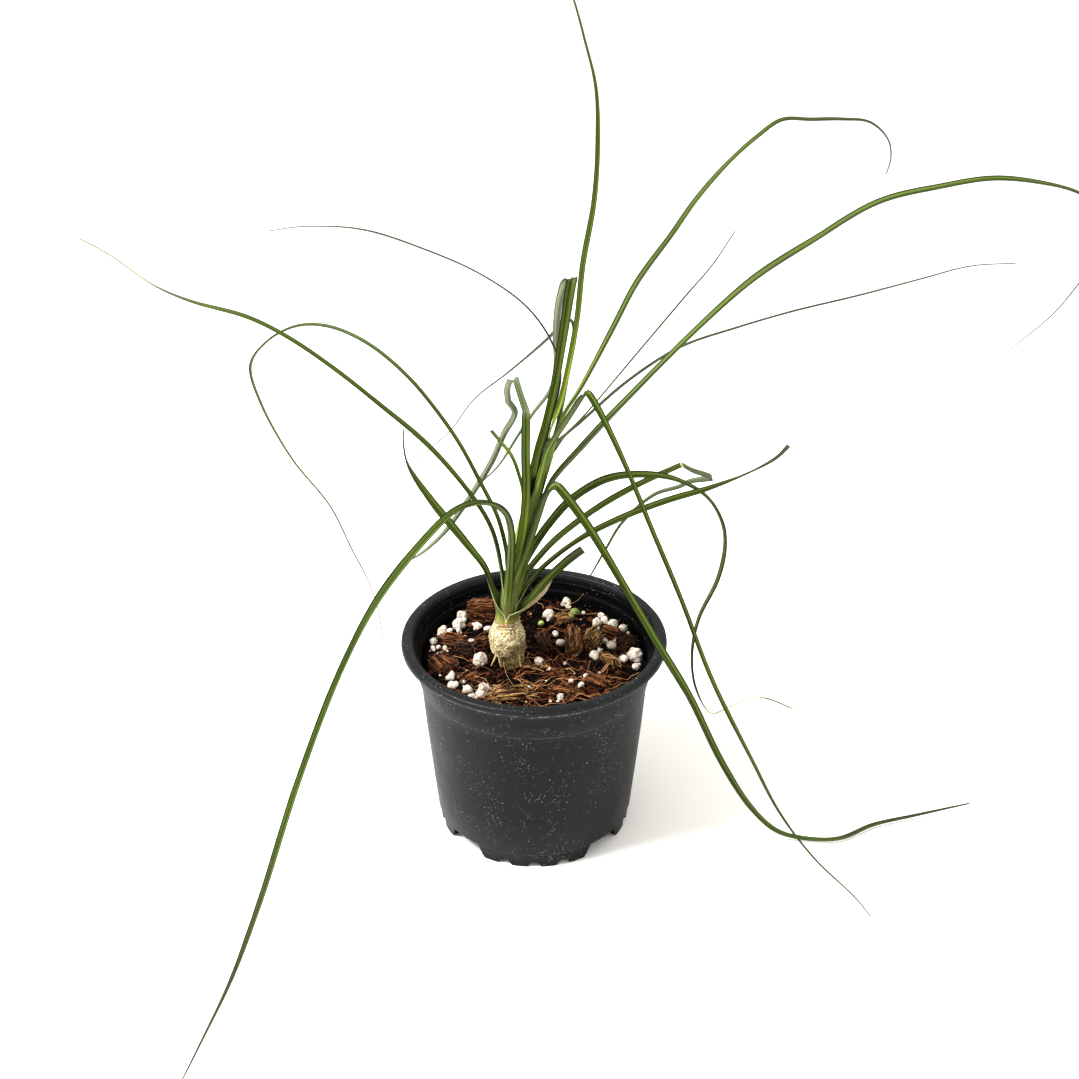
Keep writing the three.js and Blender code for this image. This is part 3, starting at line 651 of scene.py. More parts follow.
# %% [markdown]
# ## Coir chips
#
# Coconut husk chips are the brown blocks in the mix. Each is a bundle of coarse fibres, so its faces are
# ribbed along one direction and rough like a cut brush across it. A block is bent out of a grid of faces
# and pushed in and out by noise that is long along the fibres and short across them. The same stretched
# coordinates are kept as an attribute, so that the colour follows the fibres too.

# %% Where the chips lie
CHIP_BOTTOM_Z, CHIP_LEAN = 71, 5
CHIPS = [
    dict(at=(-22.2, 30.8), size=(12.5, 6.5), top=85, turn=-4, tone=0.45),
    dict(at=(-22, 6), size=(5.5, 5), top=82, turn=12, tone=0.4),
    dict(at=(16.4, 10.5), size=(15, 6.5), top=81, turn=94, tone=0.62),
    dict(at=(24, 10), size=(8, 7), top=82.5, turn=65, tone=0.95),
    dict(at=(-36.5, -6.5), size=(11, 9), top=80.5, turn=125, tone=0.4),
    dict(at=(-34, 12), size=(8, 6), top=79, turn=-15, tone=0.5),
    dict(at=(32, 16), size=(8, 5), top=80.5, turn=-30, tone=0.5),
    dict(at=(-9, -26), size=(14, 8), top=78.5, turn=6, tone=0.8),
    dict(at=(11, -24), size=(11, 6), top=78, turn=-12, tone=0.5),
    dict(at=(-26, -12), size=(7, 4), top=77.8, turn=40, tone=0.45),
    dict(at=(25, -17), size=(9, 6), top=78, turn=-35, tone=0.45),
    dict(at=(12, 29), size=(7, 5), top=79, turn=20, tone=0.7),
    dict(at=(4.5, 9), size=(13, 4.5), top=80, turn=98, tone=0.08),
    dict(at=(-28.5, 4), size=(7, 6), top=80, turn=-20, tone=0.05),
    dict(at=(38.5, 9), size=(7, 7), top=79.5, turn=15, tone=0.05),
    dict(at=(31, -3), size=(8, 3.5), top=79.5, turn=-40, tone=0.8),
]
CHIP_CUTS = 22


def chip_rings(size, seed):
    """A block of husk as rings along its fibres, centred on the origin, with its place in the fibres."""
    long, wide, high = size
    rings, fibres = [], []
    side = np.linspace(-1, 1, CHIP_CUTS)
    square = ([(s, -1) for s in side[:-1]] + [(1, s) for s in side[:-1]]
              + [(-s, 1) for s in side[:-1]] + [(-1, -s) for s in side[:-1]])
    for u in np.linspace(-1, 1, CHIP_CUTS * 2):
        shrink = 1 - 0.2 * max(abs(u) - 0.7, 0) / 0.3
        ring, marks = [], []
        for v, w in square:
            corner_pull = 1 - 0.14 * (v * v * w * w)
            y, z = v * wide / 2 * shrink * corner_pull, w * high / 2 * shrink * corner_pull
            x = u * long / 2
            lump = noise.fractal(Vector((x, y, z)) / 4 + Vector((seed, 0, 0)), 0.8, 2.0, 3)
            strand = noise.fractal(Vector((x / 10, y * 0.9, z * 0.9)) + Vector((0, seed, 0)), 0.7, 2.1, 4)
            ribs = 1 - 2 * abs(noise.noise(Vector((x / 12, y * 0.75, z * 0.75)) + Vector((7, seed, 0))))
            push = 1 + (0.7 * lump + 1.1 * strand + 0.7 * ribs) / max(wide, high)
            frayed = 1.5 * noise.fractal(Vector((seed, y * 1.3, z * 1.3)), 0.7, 2.2, 2)
            ring.append((x + frayed * ease(abs(u), 0.55, 1) * np.sign(u), y * push, z * push))
            marks.append((x / 9 + seed, y * 1.5, z * 1.5))
        rings.append(ring)
        fibres.append(marks)
    return np.array(rings), fibres


# %% Husk finish
HUSK_KINDS = [(0, "#080403", "#46322a"), (0.5, "#1d0d07", "#96613f"), (1, "#3a2410", "#cba670")]


def husk_colours(finish, share, tone):
    """Dark bark, rust red husk or golden coir by the piece's tone, each from a dark to a light shade."""
    dark = finish.ramp(tone, *[(at, low) for at, low, high in HUSK_KINDS])
    light = finish.ramp(tone, *[(at, high) for at, low, high in HUSK_KINDS])
    return finish.mix(share, dark, light)


husk = Finish("coconut_husk", Roughness=0.88, Specular_IOR_Level=0.1)
strand_place = husk.node("ShaderNodeAttribute", {"attribute_name": "fibres"}, output="Vector")
# The strands that stand up in the relief take the light tone of the husk and the sunk ones the dark tone:
# painted light and shade over the husk's own colours. The near black between the strands is painted shade in
# the gaps.
strands = husk.cloud(1.3, 4, strand_place, 0.65)
gap_painted_shade = husk.step(husk.cloud(0.9, 3, strand_place), 0.5, 0.42)
pith = husk.step(husk.cloud(0.5, 3), 0.56, 0.7) * 0.45
brown = husk_colours(husk, husk.step(strands, 0.42, 0.58), husk.carried("tone"))
husk.feed("Base Color", husk.painted(brown, (pith, "#7a4526"), (gap_painted_shade * 0.85, "#080302")))
husk.relief(strands + husk.cloud(0.3, 3, strand_place) * 0.6, 0.8)

# %% Build the chips
chip_points, chip_faces, chip_fibres, chip_grain, chip_tones = [], [], [], [], []
around, levels = 4 * (CHIP_CUTS - 1), CHIP_CUTS * 2
for number, chip in enumerate(CHIPS):
    rings, fibres = chip_rings((*chip["size"], chip["top"] - CHIP_BOTTOM_Z), 3.7 * number)
    turn = Quaternion((0, 0, 1), math.radians(chip["turn"])) @ Quaternion((1, 0, 0), math.radians(CHIP_LEAN))
    centre = Vector((*chip["at"], (chip["top"] + CHIP_BOTTOM_Z) / 2))
    base = len(chip_points)
    chip_points += [centre + turn @ Vector(p) for p in rings.reshape(-1, 3)]
    chip_fibres += [mark for ring in fibres for mark in ring]
    chip_faces += ring_faces(levels, around, base)
    for start, flip in ((base, True), (base + (levels - 1) * around, False)):
        hub = len(chip_points)
        chip_points.append(sum(chip_points[start:start + around], Vector()) / around)
        chip_fibres.append((0, 0, 0))
        for k in range(around):
            a, b = start + k, start + (k + 1) % around
            chip_faces.append((b, a, hub) if flip else (a, b, hub))
    added = len(chip_points) - base
    chip_grain += [turn @ Vector((1, 0, 0))] * added
    chip_tones += [chip["tone"]] * added
chips_mesh = bpy.data.meshes.new("coir_chips")
chips_mesh.from_pydata([p * MM for p in chip_points], [], chip_faces)
chips_mesh.shade_smooth()
chips_mesh.set_sharp_from_angle(angle=math.radians(50))
for label, values in (("fibres", chip_fibres), ("grain", chip_grain)):
    attribute = chips_mesh.attributes.new(label, "FLOAT_VECTOR", "POINT")
    attribute.data.foreach_set("vector", np.array(values, np.float32).ravel())
set_values(chips_mesh, "tone", chip_tones)
chips_mesh.materials.append(husk.material)
new_object("coir_chips", chips_mesh)
print("chips:", len(chips_mesh.polygons), "faces")

# %% [markdown]
# ### Frayed husk
#
# A husk chip is never clean: loose fibres stand off its faces and hang out of its ends. They follow the
# chip's own grain, so a tree reads the grain direction that each chip carries, leans every fibre a little
# away from the face that it grows on, and sweeps a thin round section along it.

# %% Hairs on the chips
hair_finish = Finish("frayed_husk", Roughness=0.7, Specular_IOR_Level=0.3)
hair_share = hair_finish.step(hair_finish.carried("shade"), 0.15, 0.9)
hair_finish.feed("Base Color", husk_colours(hair_finish, hair_share, hair_finish.carried("tone") + 0.12))
hairs = Rule("husk_hair_rule", hair_finish.material, Density=2e5, Seed=21, Shortest=0.0015, Longest=0.006,
             Thickness=0.00014, Loose=0.22)
hair_points = hairs.scattered(hairs.given("Density"))
jitter = hairs.random_vector((-0.45, -0.45, -0.25), (0.45, 0.45, 0.45), 1)
lifted = hairs.times(hair_points.also("Normal"), hairs.given("Loose"))
heading = hairs.plus(hairs.plus(hairs.attribute("grain", "FLOAT_VECTOR"), jitter), lifted)
facing = hairs.node("FunctionNodeAlignRotationToVector", {"axis": "X"}, {"Vector": heading})
hair_length = hairs.random(hairs.given("Shortest"), hairs.given("Longest"), 2)
hair_set = hairs.put_on(hair_points, hairs.bent_line(5, (0.05, 0.12, 0.1)), facing, hair_length)
hair_set = hairs.marked(hair_set, "shade", hairs.random(0.0, 1.0, 3))
hairs.end(hairs.swept(hairs.real(hair_set), 3))
hair_mesh = hairs.grow(chips_mesh)
new_object("husk_hairs", hair_mesh)
print("hairs:", len(hair_mesh.polygons), "faces")

# %% [markdown]
# ## Perlite
#
# Perlite is white, foamed volcanic glass: lumps of 2 to 7 mm with rounded corners and small pits. The
# large grains stand where the photograph shows them, and each has a few small ones beside it. A geometry
# tree puts a ball on every point and pushes its faces in and out by noise at its place, so that no two
# grains are alike.

# %% Points for the grains
GRAINS = [
    (-30.6, 29.6, 2.4), (-30.5, 27, 1.5), (-32, 23.5, 2.6), (-24, 22.5, 2.1), (-19.5, 20, 1.8),
    (-38.8, 18.6, 2.1), (-35.8, 18.6, 1.5), (-41.9, 10.8, 1.8), (-41.8, 6, 1.3),
    (-37, 6.5, 1.3), (-39, 2, 1.6),
    (-26, 11.5, 1.4), (-22, -3.5, 3.2), (-33.5, -14, 2.2), (-32, -20.5, 2.1),
    (-26.5, -23.5, 2.2), (-20, -22, 2.4),
    (-21.5, -26.5, 2), (-24, -30, 2.2), (-2, -21, 1.2), (14, 40.4, 2.4), (6, 30.5, 2.5), (28.5, 30, 1.5),
    (26.5, 24.5, 2.1), (30, 27, 1.7), (33.5, 25, 2), (33.5, 19, 2.3), (37.5, 20.5, 1.8), (9, 17, 1.6),
    (11, 9.5, 1.8), (29.5, 11.5, 1.4), (32, 7.5, 2.1), (25, 0, 2.2), (27, 4, 1.2), (41.3, -0.5, 3.3),
    (36.5, -3, 2), (41.5, -6.5, 1.7), (2, -4.5, 1.9), (21, -13.5, 1.3), (19, -20.5, 1.4), (10.5, -27, 1.7),
]
SMALL_GRAINS = [
    (-39.8, 7, 1.2), (-28.5, -16.5, 0.9), (-32, 19.5, 1.1), (21, 34.5, 1), (39.5, 17.5, 1), (34, 11.5, 1.4),
    (12.5, -4, 0.9), (6, -8.5, 1.2), (15, -17, 1.1), (26.5, -11, 0.7),
]
BESIDE_SHARE = 0.6
LOOSE_GRAINS, LOOSE_WITHIN, BARE_ROUND_TRUNK = 30, 44, 8
draw = np.random.default_rng(11)
grain_points, grain_sizes = [], []


def add_grain(x, y, r, sunk):
    """Puts a grain on the ground, sunk into it by a share of its radius."""
    grain_points.append((x * MM, y * MM, (SOIL_Z + hills(x, y) + (1 - sunk) * r) * MM))
    grain_sizes.append(r * MM)


for x, y, r in GRAINS + SMALL_GRAINS:
    add_grain(x, y, r, 0.4)
    small, angle = r * draw.uniform(0.28, 0.5), draw.uniform(0, FULL_TURN)
    px, py = x + (r + 0.6 * small) * math.cos(angle), y + (r + 0.6 * small) * math.sin(angle)
    if draw.random() < BESIDE_SHARE and math.hypot(px, py) < GROUND_R - small - 0.5:
        add_grain(px, py, small, 0.3)
loose_angles = draw.uniform(0, FULL_TURN, LOOSE_GRAINS)
loose_shares = draw.uniform(0.08, 1, LOOSE_GRAINS)
loose_radii = draw.uniform(0.3, 0.8, LOOSE_GRAINS)
for angle, share, r in zip(loose_angles, loose_shares, loose_radii):
    out = LOOSE_WITHIN * math.sqrt(share)
    x, y = out * math.cos(angle), out * math.sin(angle)
    if math.hypot(x - TRUNK_X, y - TRUNK_Y) > BARE_ROUND_TRUNK:
        add_grain(x, y, r, 0.5)


def grain_seeds(name, points, sizes):
    """Loose points that carry the sizes of their grains."""
    mesh = bpy.data.meshes.new(name)
    mesh.from_pydata(points, [], [])
    set_values(mesh, "size", sizes)
    return mesh


print(len(grain_points), "grains")

# %% Perlite finish and grains
perlite = Finish("white_perlite", Roughness=0.9, Specular_IOR_Level=0.25)
# Darker pits are painted shade in them, and the grey in the chalk's mottle is painted shade on the grains.
pits = perlite.step(perlite.cells(0.85), 0.2, 0.06) * perlite.step(perlite.cloud(2, 2), 0.45, 0.6)
stain = perlite.step(perlite.cloud(5, 3), 0.5, 0.72)
soiled = perlite.step(perlite.cloud(0.7, 5), 0.56, 0.7) * perlite.step(perlite.cloud(3.2, 2), 0.44, 0.62)
chalk_with_painted_shade = perlite.mix(perlite.step(perlite.cloud(1.3, 4), 0.36, 0.6), "#b5a592", "#e4ddd2")
perlite.feed("Base Color", perlite.painted(chalk_with_painted_shade, (stain * 0.5, "#bda688"), (soiled * 0.7, "#7d5f47"),
                                           (pits * 0.5, "#7c6c60")))
perlite.relief(perlite.cloud(0.8, 4) - pits * 0.8, 0.6)


def grain_rule(name, material):
    """A tree that turns points into knobbly grains."""
    rule = Rule(name, material, Lumps=0.3, Knobs=0.3, Seed=4, Fineness=4)
    ball = rule.node("GeometryNodeMeshIcoSphere", {}, {"Radius": 1.0, "Subdivisions": rule.given("Fineness")})
    size = rule.attribute("size")
    shape = rule.times(rule.random_vector((0.88, 0.78, 0.74), (1.08, 1.0, 0.95), 0), size)
    spin = rule.random_vector((0, 0, 0), (6.28, 0.8, 6.28), 1)
    whole = rule.real(rule.put_on(rule.given(), ball, spin, shape))
    place = rule.node("GeometryNodeInputPosition")
    coarse = rule.node("ShaderNodeTexNoise", {}, {"Vector": place, "Scale": 380.0, "Detail": 1.0}) - 0.5
    knobs = rule.node("ShaderNodeTexVoronoi", {}, {"Vector": place, "Scale": 520.0})
    push = (coarse * rule.given("Lumps") + (0.4 - knobs * knobs) * rule.given("Knobs")) * size
    rule.end(rule.displaced(whole, rule.times(rule.node("GeometryNodeInputNormal"), push)))
    return rule


grain_mesh = grain_seeds("grain_points", grain_points, grain_sizes)
perlite_mesh = grain_rule("perlite_rule", perlite.material).grow(grain_mesh, Lumps=0.85, Knobs=0.3)
new_object("perlite_grains", perlite_mesh)
print("perlite:", len(perlite_mesh.polygons), "faces")

# %% Fibre bed: a top sheet of the ground that says where fibres and crumbs lie
bed_rings = turned([on_ground(r) for r in np.linspace(44.2, 2, 30)], pot_angles[::8])
bed_points = [point for ring in bed_rings for point in ring]
bed_mesh = bpy.data.meshes.new("bed")
bed_mesh.from_pydata([tuple(np.array(p) * MM) for p in bed_points], [],
                     ring_faces(len(bed_rings), len(bed_rings[0])))
coir_share = [ease(-y, -12, 10) * (1 - ease(abs(x - 2), 26, 38)) + 0.16 for x, y, z in bed_points]
set_values(bed_mesh, "coir", coir_share)
set_values(bed_mesh, "open", [ease(math.hypot(x - TRUNK_X, y - TRUNK_Y), 6.5, 9) for x, y, z in bed_points])
print("bed:", len(bed_mesh.polygons), "faces")

# %% [markdown]
# ## Coir fibres
#
# Loose husk fibres cover the mix, most of them in front of the trunk, where they lie in long sweeping arcs
# across the pot. The tree scatters points on the bed, puts a bent line on each, bends it a little more by
# noise, lays every point of it on the ground with a ray cast down, and gives it a round section.

# %% Fibre rule
coir = Finish("coir_fibre", Roughness=0.7, Specular_IOR_Level=0.15)
coir_colour = coir.ramp(coir.carried("tone"), (0, "#0a0403"), (0.4, "#2f150b"), (0.7, "#6d3d24"),
                        (0.88, "#a0693f"), (1, "#cfa878"))
coir.feed("Base Color", coir.mix(coir.step(coir.cloud(1.2, 3), 0.4, 0.7) * 0.5, coir_colour, "#241008"))
coir.relief(coir.cloud(0.2, 2), 0.05)
CENTRED = (-0.5, -0.5, -0.5)


def fibre_rule(name):
    """A tree that lays fibres on a bed."""
    rule = Rule(name, coir.material, Density=9e4, Seed=3, Longest=0.024, Shortest=0.006, Thickness=0.00013,
                Spread=0.9, Lift=0.0012, Stand=0.0, Wiggle=0.003)
    points = rule.scattered(rule.given("Density") * rule.attribute("coir") * rule.attribute("open"))
    long = rule.random(rule.given("Shortest"), rule.given("Longest"), 5)
    size = rule.vector(long, rule.random(-1.6, 1.6, 6) * long, long)
    spin = rule.vector(0.0, 0.0, rule.random(-1.0, 1.0, 7) * rule.given("Spread"))
    laid = rule.put_on(points, rule.bent_line(14, (0.05, 0.22, 0.0)), spin, size)
    lines = rule.real(rule.marked(laid, "tone", rule.random(0.0, 1.0, 8)))
    place = rule.node("GeometryNodeInputPosition")
    tone = rule.attribute("tone")
    wave = rule.node("ShaderNodeTexNoise", {"noise_dimensions": "4D"}, {
        "Vector": place, "W": tone * 90, "Scale": 90.0, "Detail": 1.5}, "Color")
    bent = rule.displaced(lines, rule.times(rule.plus(wave, CENTRED), rule.given("Wiggle")))
    hit = rule.node("GeometryNodeRaycast", {}, {
        "Target Geometry": rule.given(), "Source Position": rule.plus(place, (0, 0, 0.03)),
        "Ray Direction": (0, 0, -1), "Ray Length": 0.08}, "Hit Position")
    along = rule.node("GeometryNodeSplineParameter", {}, (), "Factor")
    here = rule.node("ShaderNodeSeparateXYZ", {}, [place])
    hit_z = rule.node("ShaderNodeSeparateXYZ", {}, [hit]).also("Z")
    up = hit_z + tone * rule.given("Lift") + along * along * rule.given("Stand") * tone
    lying = rule.node("GeometryNodeSetPosition", {}, {
        "Geometry": bent, "Selection": hit.also("Is Hit"), "Position": rule.vector(here, here.also("Y"), up)})
    missed = rule.node("FunctionNodeBooleanMath", {"operation": "NOT"}, [hit.also("Is Hit")])
    chosen = {"Geometry": lying, "Selection": missed}
    within = rule.node("GeometryNodeDeleteGeometry", {"domain": "POINT"}, chosen)
    taper = (0.6 + tone * 0.7) * (1.25 - along * 0.7)
    sized = rule.node("GeometryNodeSetCurveRadius", {}, {"Curve": within, "Radius": taper})
    rule.end(rule.swept(sized, 5))
    return rule


fibres = fibre_rule("fibre_rule")
fibre_mesh = fibres.grow(bed_mesh, Density=1.15e5, Thickness=0.00014)
new_object("coir_fibres", fibre_mesh)
stray_mesh = fibres.grow(bed_mesh, Density=3.6e4, Seed=29, Spread=3.1, Longest=0.011, Thickness=0.0001,
                         Stand=0.008, Lift=0.0016)
new_object("stray_fibres", stray_mesh)
print("fibres:", len(fibre_mesh.polygons), "and", len(stray_mesh.polygons), "faces")

# %% [markdown]
# ## Crumbs and bark flakes
#
# Between the large pieces lie thousands of small ones. One tree scatters them: round crumbs of humus, and
# with another flatness and size, reddish flakes of bark. Each has only a few dozen faces, because at a
# millimetre nobody sees more.

# %% Crumbs and flakes
crumb_earth = Finish("humus_crumb", Roughness=0.95, Specular_IOR_Level=0.1)
crumb_colour = crumb_earth.ramp(crumb_earth.carried("tone"), (0, "#050201"), (0.6, "#120805"),
                                (0.88, "#44200f"), (1, "#85502f"))
crumb_earth.feed("Base Color", crumb_earth.mix(crumb_earth.cloud(0.8, 4) * 0.7, crumb_colour, "#0c0604"))
crumb_earth.relief(crumb_earth.cloud(0.4, 4), 0.3)


def crumb_rule(name):
    """A tree that scatters small irregular lumps on the bed."""
    rule = Rule(name, crumb_earth.material, Density=6e4, Seed=5, Smallest=0.0004, Largest=0.0014, Flat=0.7)
    points = rule.scattered(rule.given("Density") * rule.attribute("open"))
    lump = rule.node("GeometryNodeMeshIcoSphere", {}, {"Radius": 1.0, "Subdivisions": 2})
    size = rule.random(rule.given("Smallest"), rule.given("Largest"), 1)
    shape = rule.vector(size, size * rule.random(0.45, 0.9, 2), size * rule.given("Flat"))
    spin = rule.random_vector((-0.5, -0.5, 0), (0.5, 0.5, 6.28), 3)
    laid = rule.put_on(points, lump, spin, shape)
    lumps = rule.real(rule.marked(laid, "tone", rule.random(0.0, 1.0, 4)))
    place = rule.node("GeometryNodeInputPosition")
    wave = rule.node("ShaderNodeTexNoise", {}, {"Vector": place, "Scale": 900.0, "Detail": 2.0}, "Color")
    rule.end(rule.displaced(lumps, rule.times(rule.plus(wave, CENTRED), 0.0011)))
    return rule


crumbs = crumb_rule("crumb_rule")
crumb_mesh = crumbs.grow(bed_mesh, Density=2.2e5)
new_object("humus_crumbs", crumb_mesh)
flake_mesh = crumbs.grow(bed_mesh, Density=2.6e4, Seed=17, Smallest=0.0012, Largest=0.003, Flat=0.35)
new_object("bark_flakes", flake_mesh)
print("crumbs:", len(crumb_mesh.polygons), "and flakes:", len(flake_mesh.polygons), "faces")

# %% [markdown]
# ### Green grains
#
# A few grains at the back are green with algae. They are perlite under a thin living film, so they take the
# grain tree again with another finish.

# %% Algae on four grains
algae = Finish("algae_film", Roughness=0.6)
green_film = algae.step(algae.cloud(1.6, 4), 0.35, 0.65)
algae.feed("Base Color", algae.mix(green_film, "#5d7a2e", "#a3b56a"))
algae.relief(algae.cloud(0.5, 3), 0.2)
ALGAE = [(17.4, 33.8, 1.9), (15.6, 29.8, 1.7), (2.8, 25, 1.4), (13.4, 32.4, 0.9)]
algae_places = [(x * MM, y * MM, (SOIL_Z + hills(x, y) + 0.7 * r) * MM) for x, y, r in ALGAE]
algae_seeds = grain_seeds("algae_points", algae_places, [r * MM for x, y, r in ALGAE])
algae_mesh = grain_rule("algae_rule", algae.material).grow(algae_seeds, Lumps=0.5, Knobs=0.1, Seed=9)
new_object("algae_grains", algae_mesh)
print("algae:", len(algae_mesh.polygons), "faces")

# %% [markdown]
# ## The trunk
#
# The swollen foot of a ponytail palm is corky. Its cream bark has split into flakes, and the outer layer
# ends in a ragged skirt, under which the younger, darker trunk goes into the soil. So there are two skins:
# an inner trunk, and a bark shell with a torn lower edge that stands a little proud on the left. The noise
# that bends the flakes gives other values in each run unless it has a seed, so it gets one here.

# %% Trunk shapes
TRUNK_COLUMNS = 240
trunk_angles = [FULL_TURN * k / TRUNK_COLUMNS for k in range(TRUNK_COLUMNS)]
BARK_PROFILE = [(81, 6.2), (83.2, 6.8), (85.5, 7.3), (88.5, 7.5), (91, 7.1), (93.2, 6), (94.8, 5.1),
                (96.6, 4.85)]
STEM_PROFILE = [(73, 4.9), (77, 4.9), (81, 5), (84, 5.3), (90, 5.3), (96, 4.4)]
STEM_SHIFT = 1.9
BARK_TOP, BARK_ROWS = 96.7, 90
FLAP_ANGLE, FLAP_Z = math.radians(-12), 83.7
SKIRT_Z, SKIRT_LOWEST = 82.9, math.radians(215)
UNDER_SKIRT = ((0.4, -0.1), (0.85, 0.2), (1.2, 2), (2.6, 5))
BARK_SEED = 5
noise.seed_set(BARK_SEED)


def between(stops, place):
    """The value at a place, on straight lines between stops of (place, value)."""
    places, values = zip(*stops)
    return float(np.interp(place, places, values))


def flakes(here, size):
    """Height of flaky plates, about -1 to 1: each has its own level and lean, with cracks between them."""
    bent = here / size + 0.35 * noise.noise_vector(here / (0.8 * size))
    distances, middles = noise.voronoi(bent)
    lean = (bent - middles[0]).dot(noise.cell_vector(middles[0] * 5) * 2 - Vector((1, 1, 1)))
    crack = 1 - ease(distances[1] - distances[0], 0, 0.16)
    return noise.cell(middles[0] * 7) - 0.5 + 0.8 * lean - 0.8 * crack


def bark_radius(a, z):
    """Radius of the bark at an angle and height, with lumps, flakes, pits and papery ridges at the top."""
    here = Vector((6.8 * math.cos(a), 6.8 * math.sin(a), z))
    plates = 0.11 * flakes(here, 2.6) + 0.11 * flakes(here + Vector((9, 0, 0)), 1.1)
    grit = 0.18 * noise.fractal(here / 0.7, 0.7, 2.2, 3) + 0.36 * noise.noise(here / 4.5)
    slope = 0.5 * math.sin(2 * a + 1) + 0.3 * math.sin(5 * a)
    ridge = (z * 0.8 + 0.35 * slope + 0.3 * noise.noise(here / 2)) % 1
    ridges = 0.5 * (ridge - 0.4) * ease(z, 92.6, 94.6)
    from_flap = (a - FLAP_ANGLE + math.pi) % FULL_TURN - math.pi
    flap = 1.3 * math.exp(-from_flap ** 2 / 0.03 - ((z - FLAP_Z) / 0.9) ** 2)
    return between(BARK_PROFILE, z) + plates * (1 - 0.4 * ease(z, 93, 95)) + grit + ridges + flap


def skirt_z(a):
    """Height of the torn lower edge of the bark, lowest at the left."""
    left = math.cos(a - SKIRT_LOWEST)
    tear = noise.fractal(Vector((3 * math.cos(a), 3 * math.sin(a), 5)), 0.7, 2.2, 4)
    fringe = noise.noise(Vector((9 * math.cos(a), 9 * math.sin(a), 2)))
    return SKIRT_Z - 0.9 * left + 0.9 * tear + 0.35 * fringe


bark_rings = []
for share in np.linspace(0, 1, BARK_ROWS):
    bark_rings.append([])
    for a in trunk_angles:
        rim = Vector((4 * math.cos(a), 4 * math.sin(a), 40))
        ragged = BARK_TOP + 0.5 * noise.fractal(rim, 0.7, 2.2, 3)
        z = skirt_z(a) + (ragged - skirt_z(a)) * (1 - share)
        flare = 0.5 * ease(share, 0.88, 1) * (0.2 + 0.8 * max(0, math.cos(a - SKIRT_LOWEST)))
        r = bark_radius(a, z) + flare
        bark_rings[-1].append((TRUNK_X + r * math.cos(a), TRUNK_Y + r * math.sin(a), z))
edge_ring = bark_rings[-1]
for inward, lift in UNDER_SKIRT:
    bark_rings.append([(x - inward * math.cos(a), y - inward * math.sin(a), z + lift)
                       for a, (x, y, z) in zip(trunk_angles, edge_ring)])
bark_rings = [ring[::-1] for ring in bark_rings]
stem_rings = []
for z in np.linspace(73, 95, 48):
    stem_rings.append([])
    for a in trunk_angles[::2]:
        here = Vector((6 * math.cos(a), 6 * math.sin(a), z + 40))
        r = between(STEM_PROFILE, z) + 0.2 * noise.fractal(here / 1.3, 0.7, 2.1, 4)
        shift = STEM_SHIFT * (1 - ease(z, 83, 90))
        stem_rings[-1].append((TRUNK_X + shift + r * math.cos(a), TRUNK_Y + r * math.sin(a), z))
print(len(bark_rings), "rings of bark over", len(stem_rings), "of the young stem")

# %% Bark finish
bark = Finish("corky_bark", Roughness=0.9, Specular_IOR_Level=0.2)
deep = bark.step(bark.cloud(0.9, 5), 0.5, 0.4)
pores = bark.step(bark.cells(0.8), 0.32, 0.16) * bark.step(bark.cloud(2.2, 3), 0.42, 0.54)
wander = bark.node("ShaderNodeTexNoise", {}, {"Vector": bark.place, "Scale": 0.9}, "Color")
cracks = 1 - bark.step(bark.cells(1.9, "DISTANCE_TO_EDGE", bark.plus(bark.place, wander)), 0.02, 0.09)
cracks = cracks * bark.step(bark.cloud(3, 2), 0.4, 0.6)
# The lower part of the trunk's right side is darkened: painted shade on the side away from the key lamp.
right_side_painted_shade = bark.step(bark.x + bark.cloud(3, 2) * 5, -11, -5.5)
papery = bark.step(bark.z + bark.cloud(2, 2), 93.2, 94.8)
ring_lines = bark.step(bark.math("FRACT", bark.z * 0.8 + bark.cloud(3, 3) * 1.2), 0.2, 0.06)
ORANGE_SPOT = (-12.3, -7.6, 96.6)
away = bark.node("ShaderNodeVectorMath", {"operation": "DISTANCE"}, [bark.place, ORANGE_SPOT], "Value")
cream = bark.mix(bark.step(bark.cloud(2.2, 4), 0.36, 0.6), "#d6c092", "#eee0ba")
bark.feed("Base Color", bark.painted(
    cream,
    (right_side_painted_shade * bark.step(bark.z, 90, 85) * 0.7, "#857647"),
    (papery * 0.5, "#e6d2a4"),
    (deep * 0.5, "#8a7049"),
    (cracks * 0.7, "#4a3820"),
    (pores * 0.8, "#2c2012"),
    (ring_lines * papery * 0.75, "#38291a"),
    (bark.step(away + bark.cloud(1, 3), 1.9, 1.1) * 0.85, "#c05010")))
bark.relief(bark.cloud(0.45, 5) - pores * 0.8 - cracks * 0.6, 0.45)

young = Finish("young_stem", Roughness=0.85, Specular_IOR_Level=0.2)
mottle = young.cloud(1.1, 5)
olive = young.mix(young.step(mottle, 0.35, 0.68), "#6e6238", "#c6b682")
# The stem is darker towards the soil.
towards_soil = young.step(young.z, 79.5, 76.5)
young.feed("Base Color", young.mix(towards_soil * 0.5, olive, "#3a2f1a"))
young.relief(mottle, 0.45)

bark_piece = new_object("bark_shell", ring_mesh("bark_shell", bark_rings, bark.material), ["trunk"])
stem_piece = new_object("young_stem", ring_mesh("young_stem", stem_rings, young.material))
print("trunk faces:", len(bark_piece.data.polygons), "+", len(stem_piece.data.polygons))

# %% [markdown]
# ### Tapered lines
#
# The aerial roots are tapered round lines. One function sweeps a circle along a few points: the ring is
# set square to the line at each point and shrinks towards the tip. The leaves use the same smooth lines
# and the same frames.

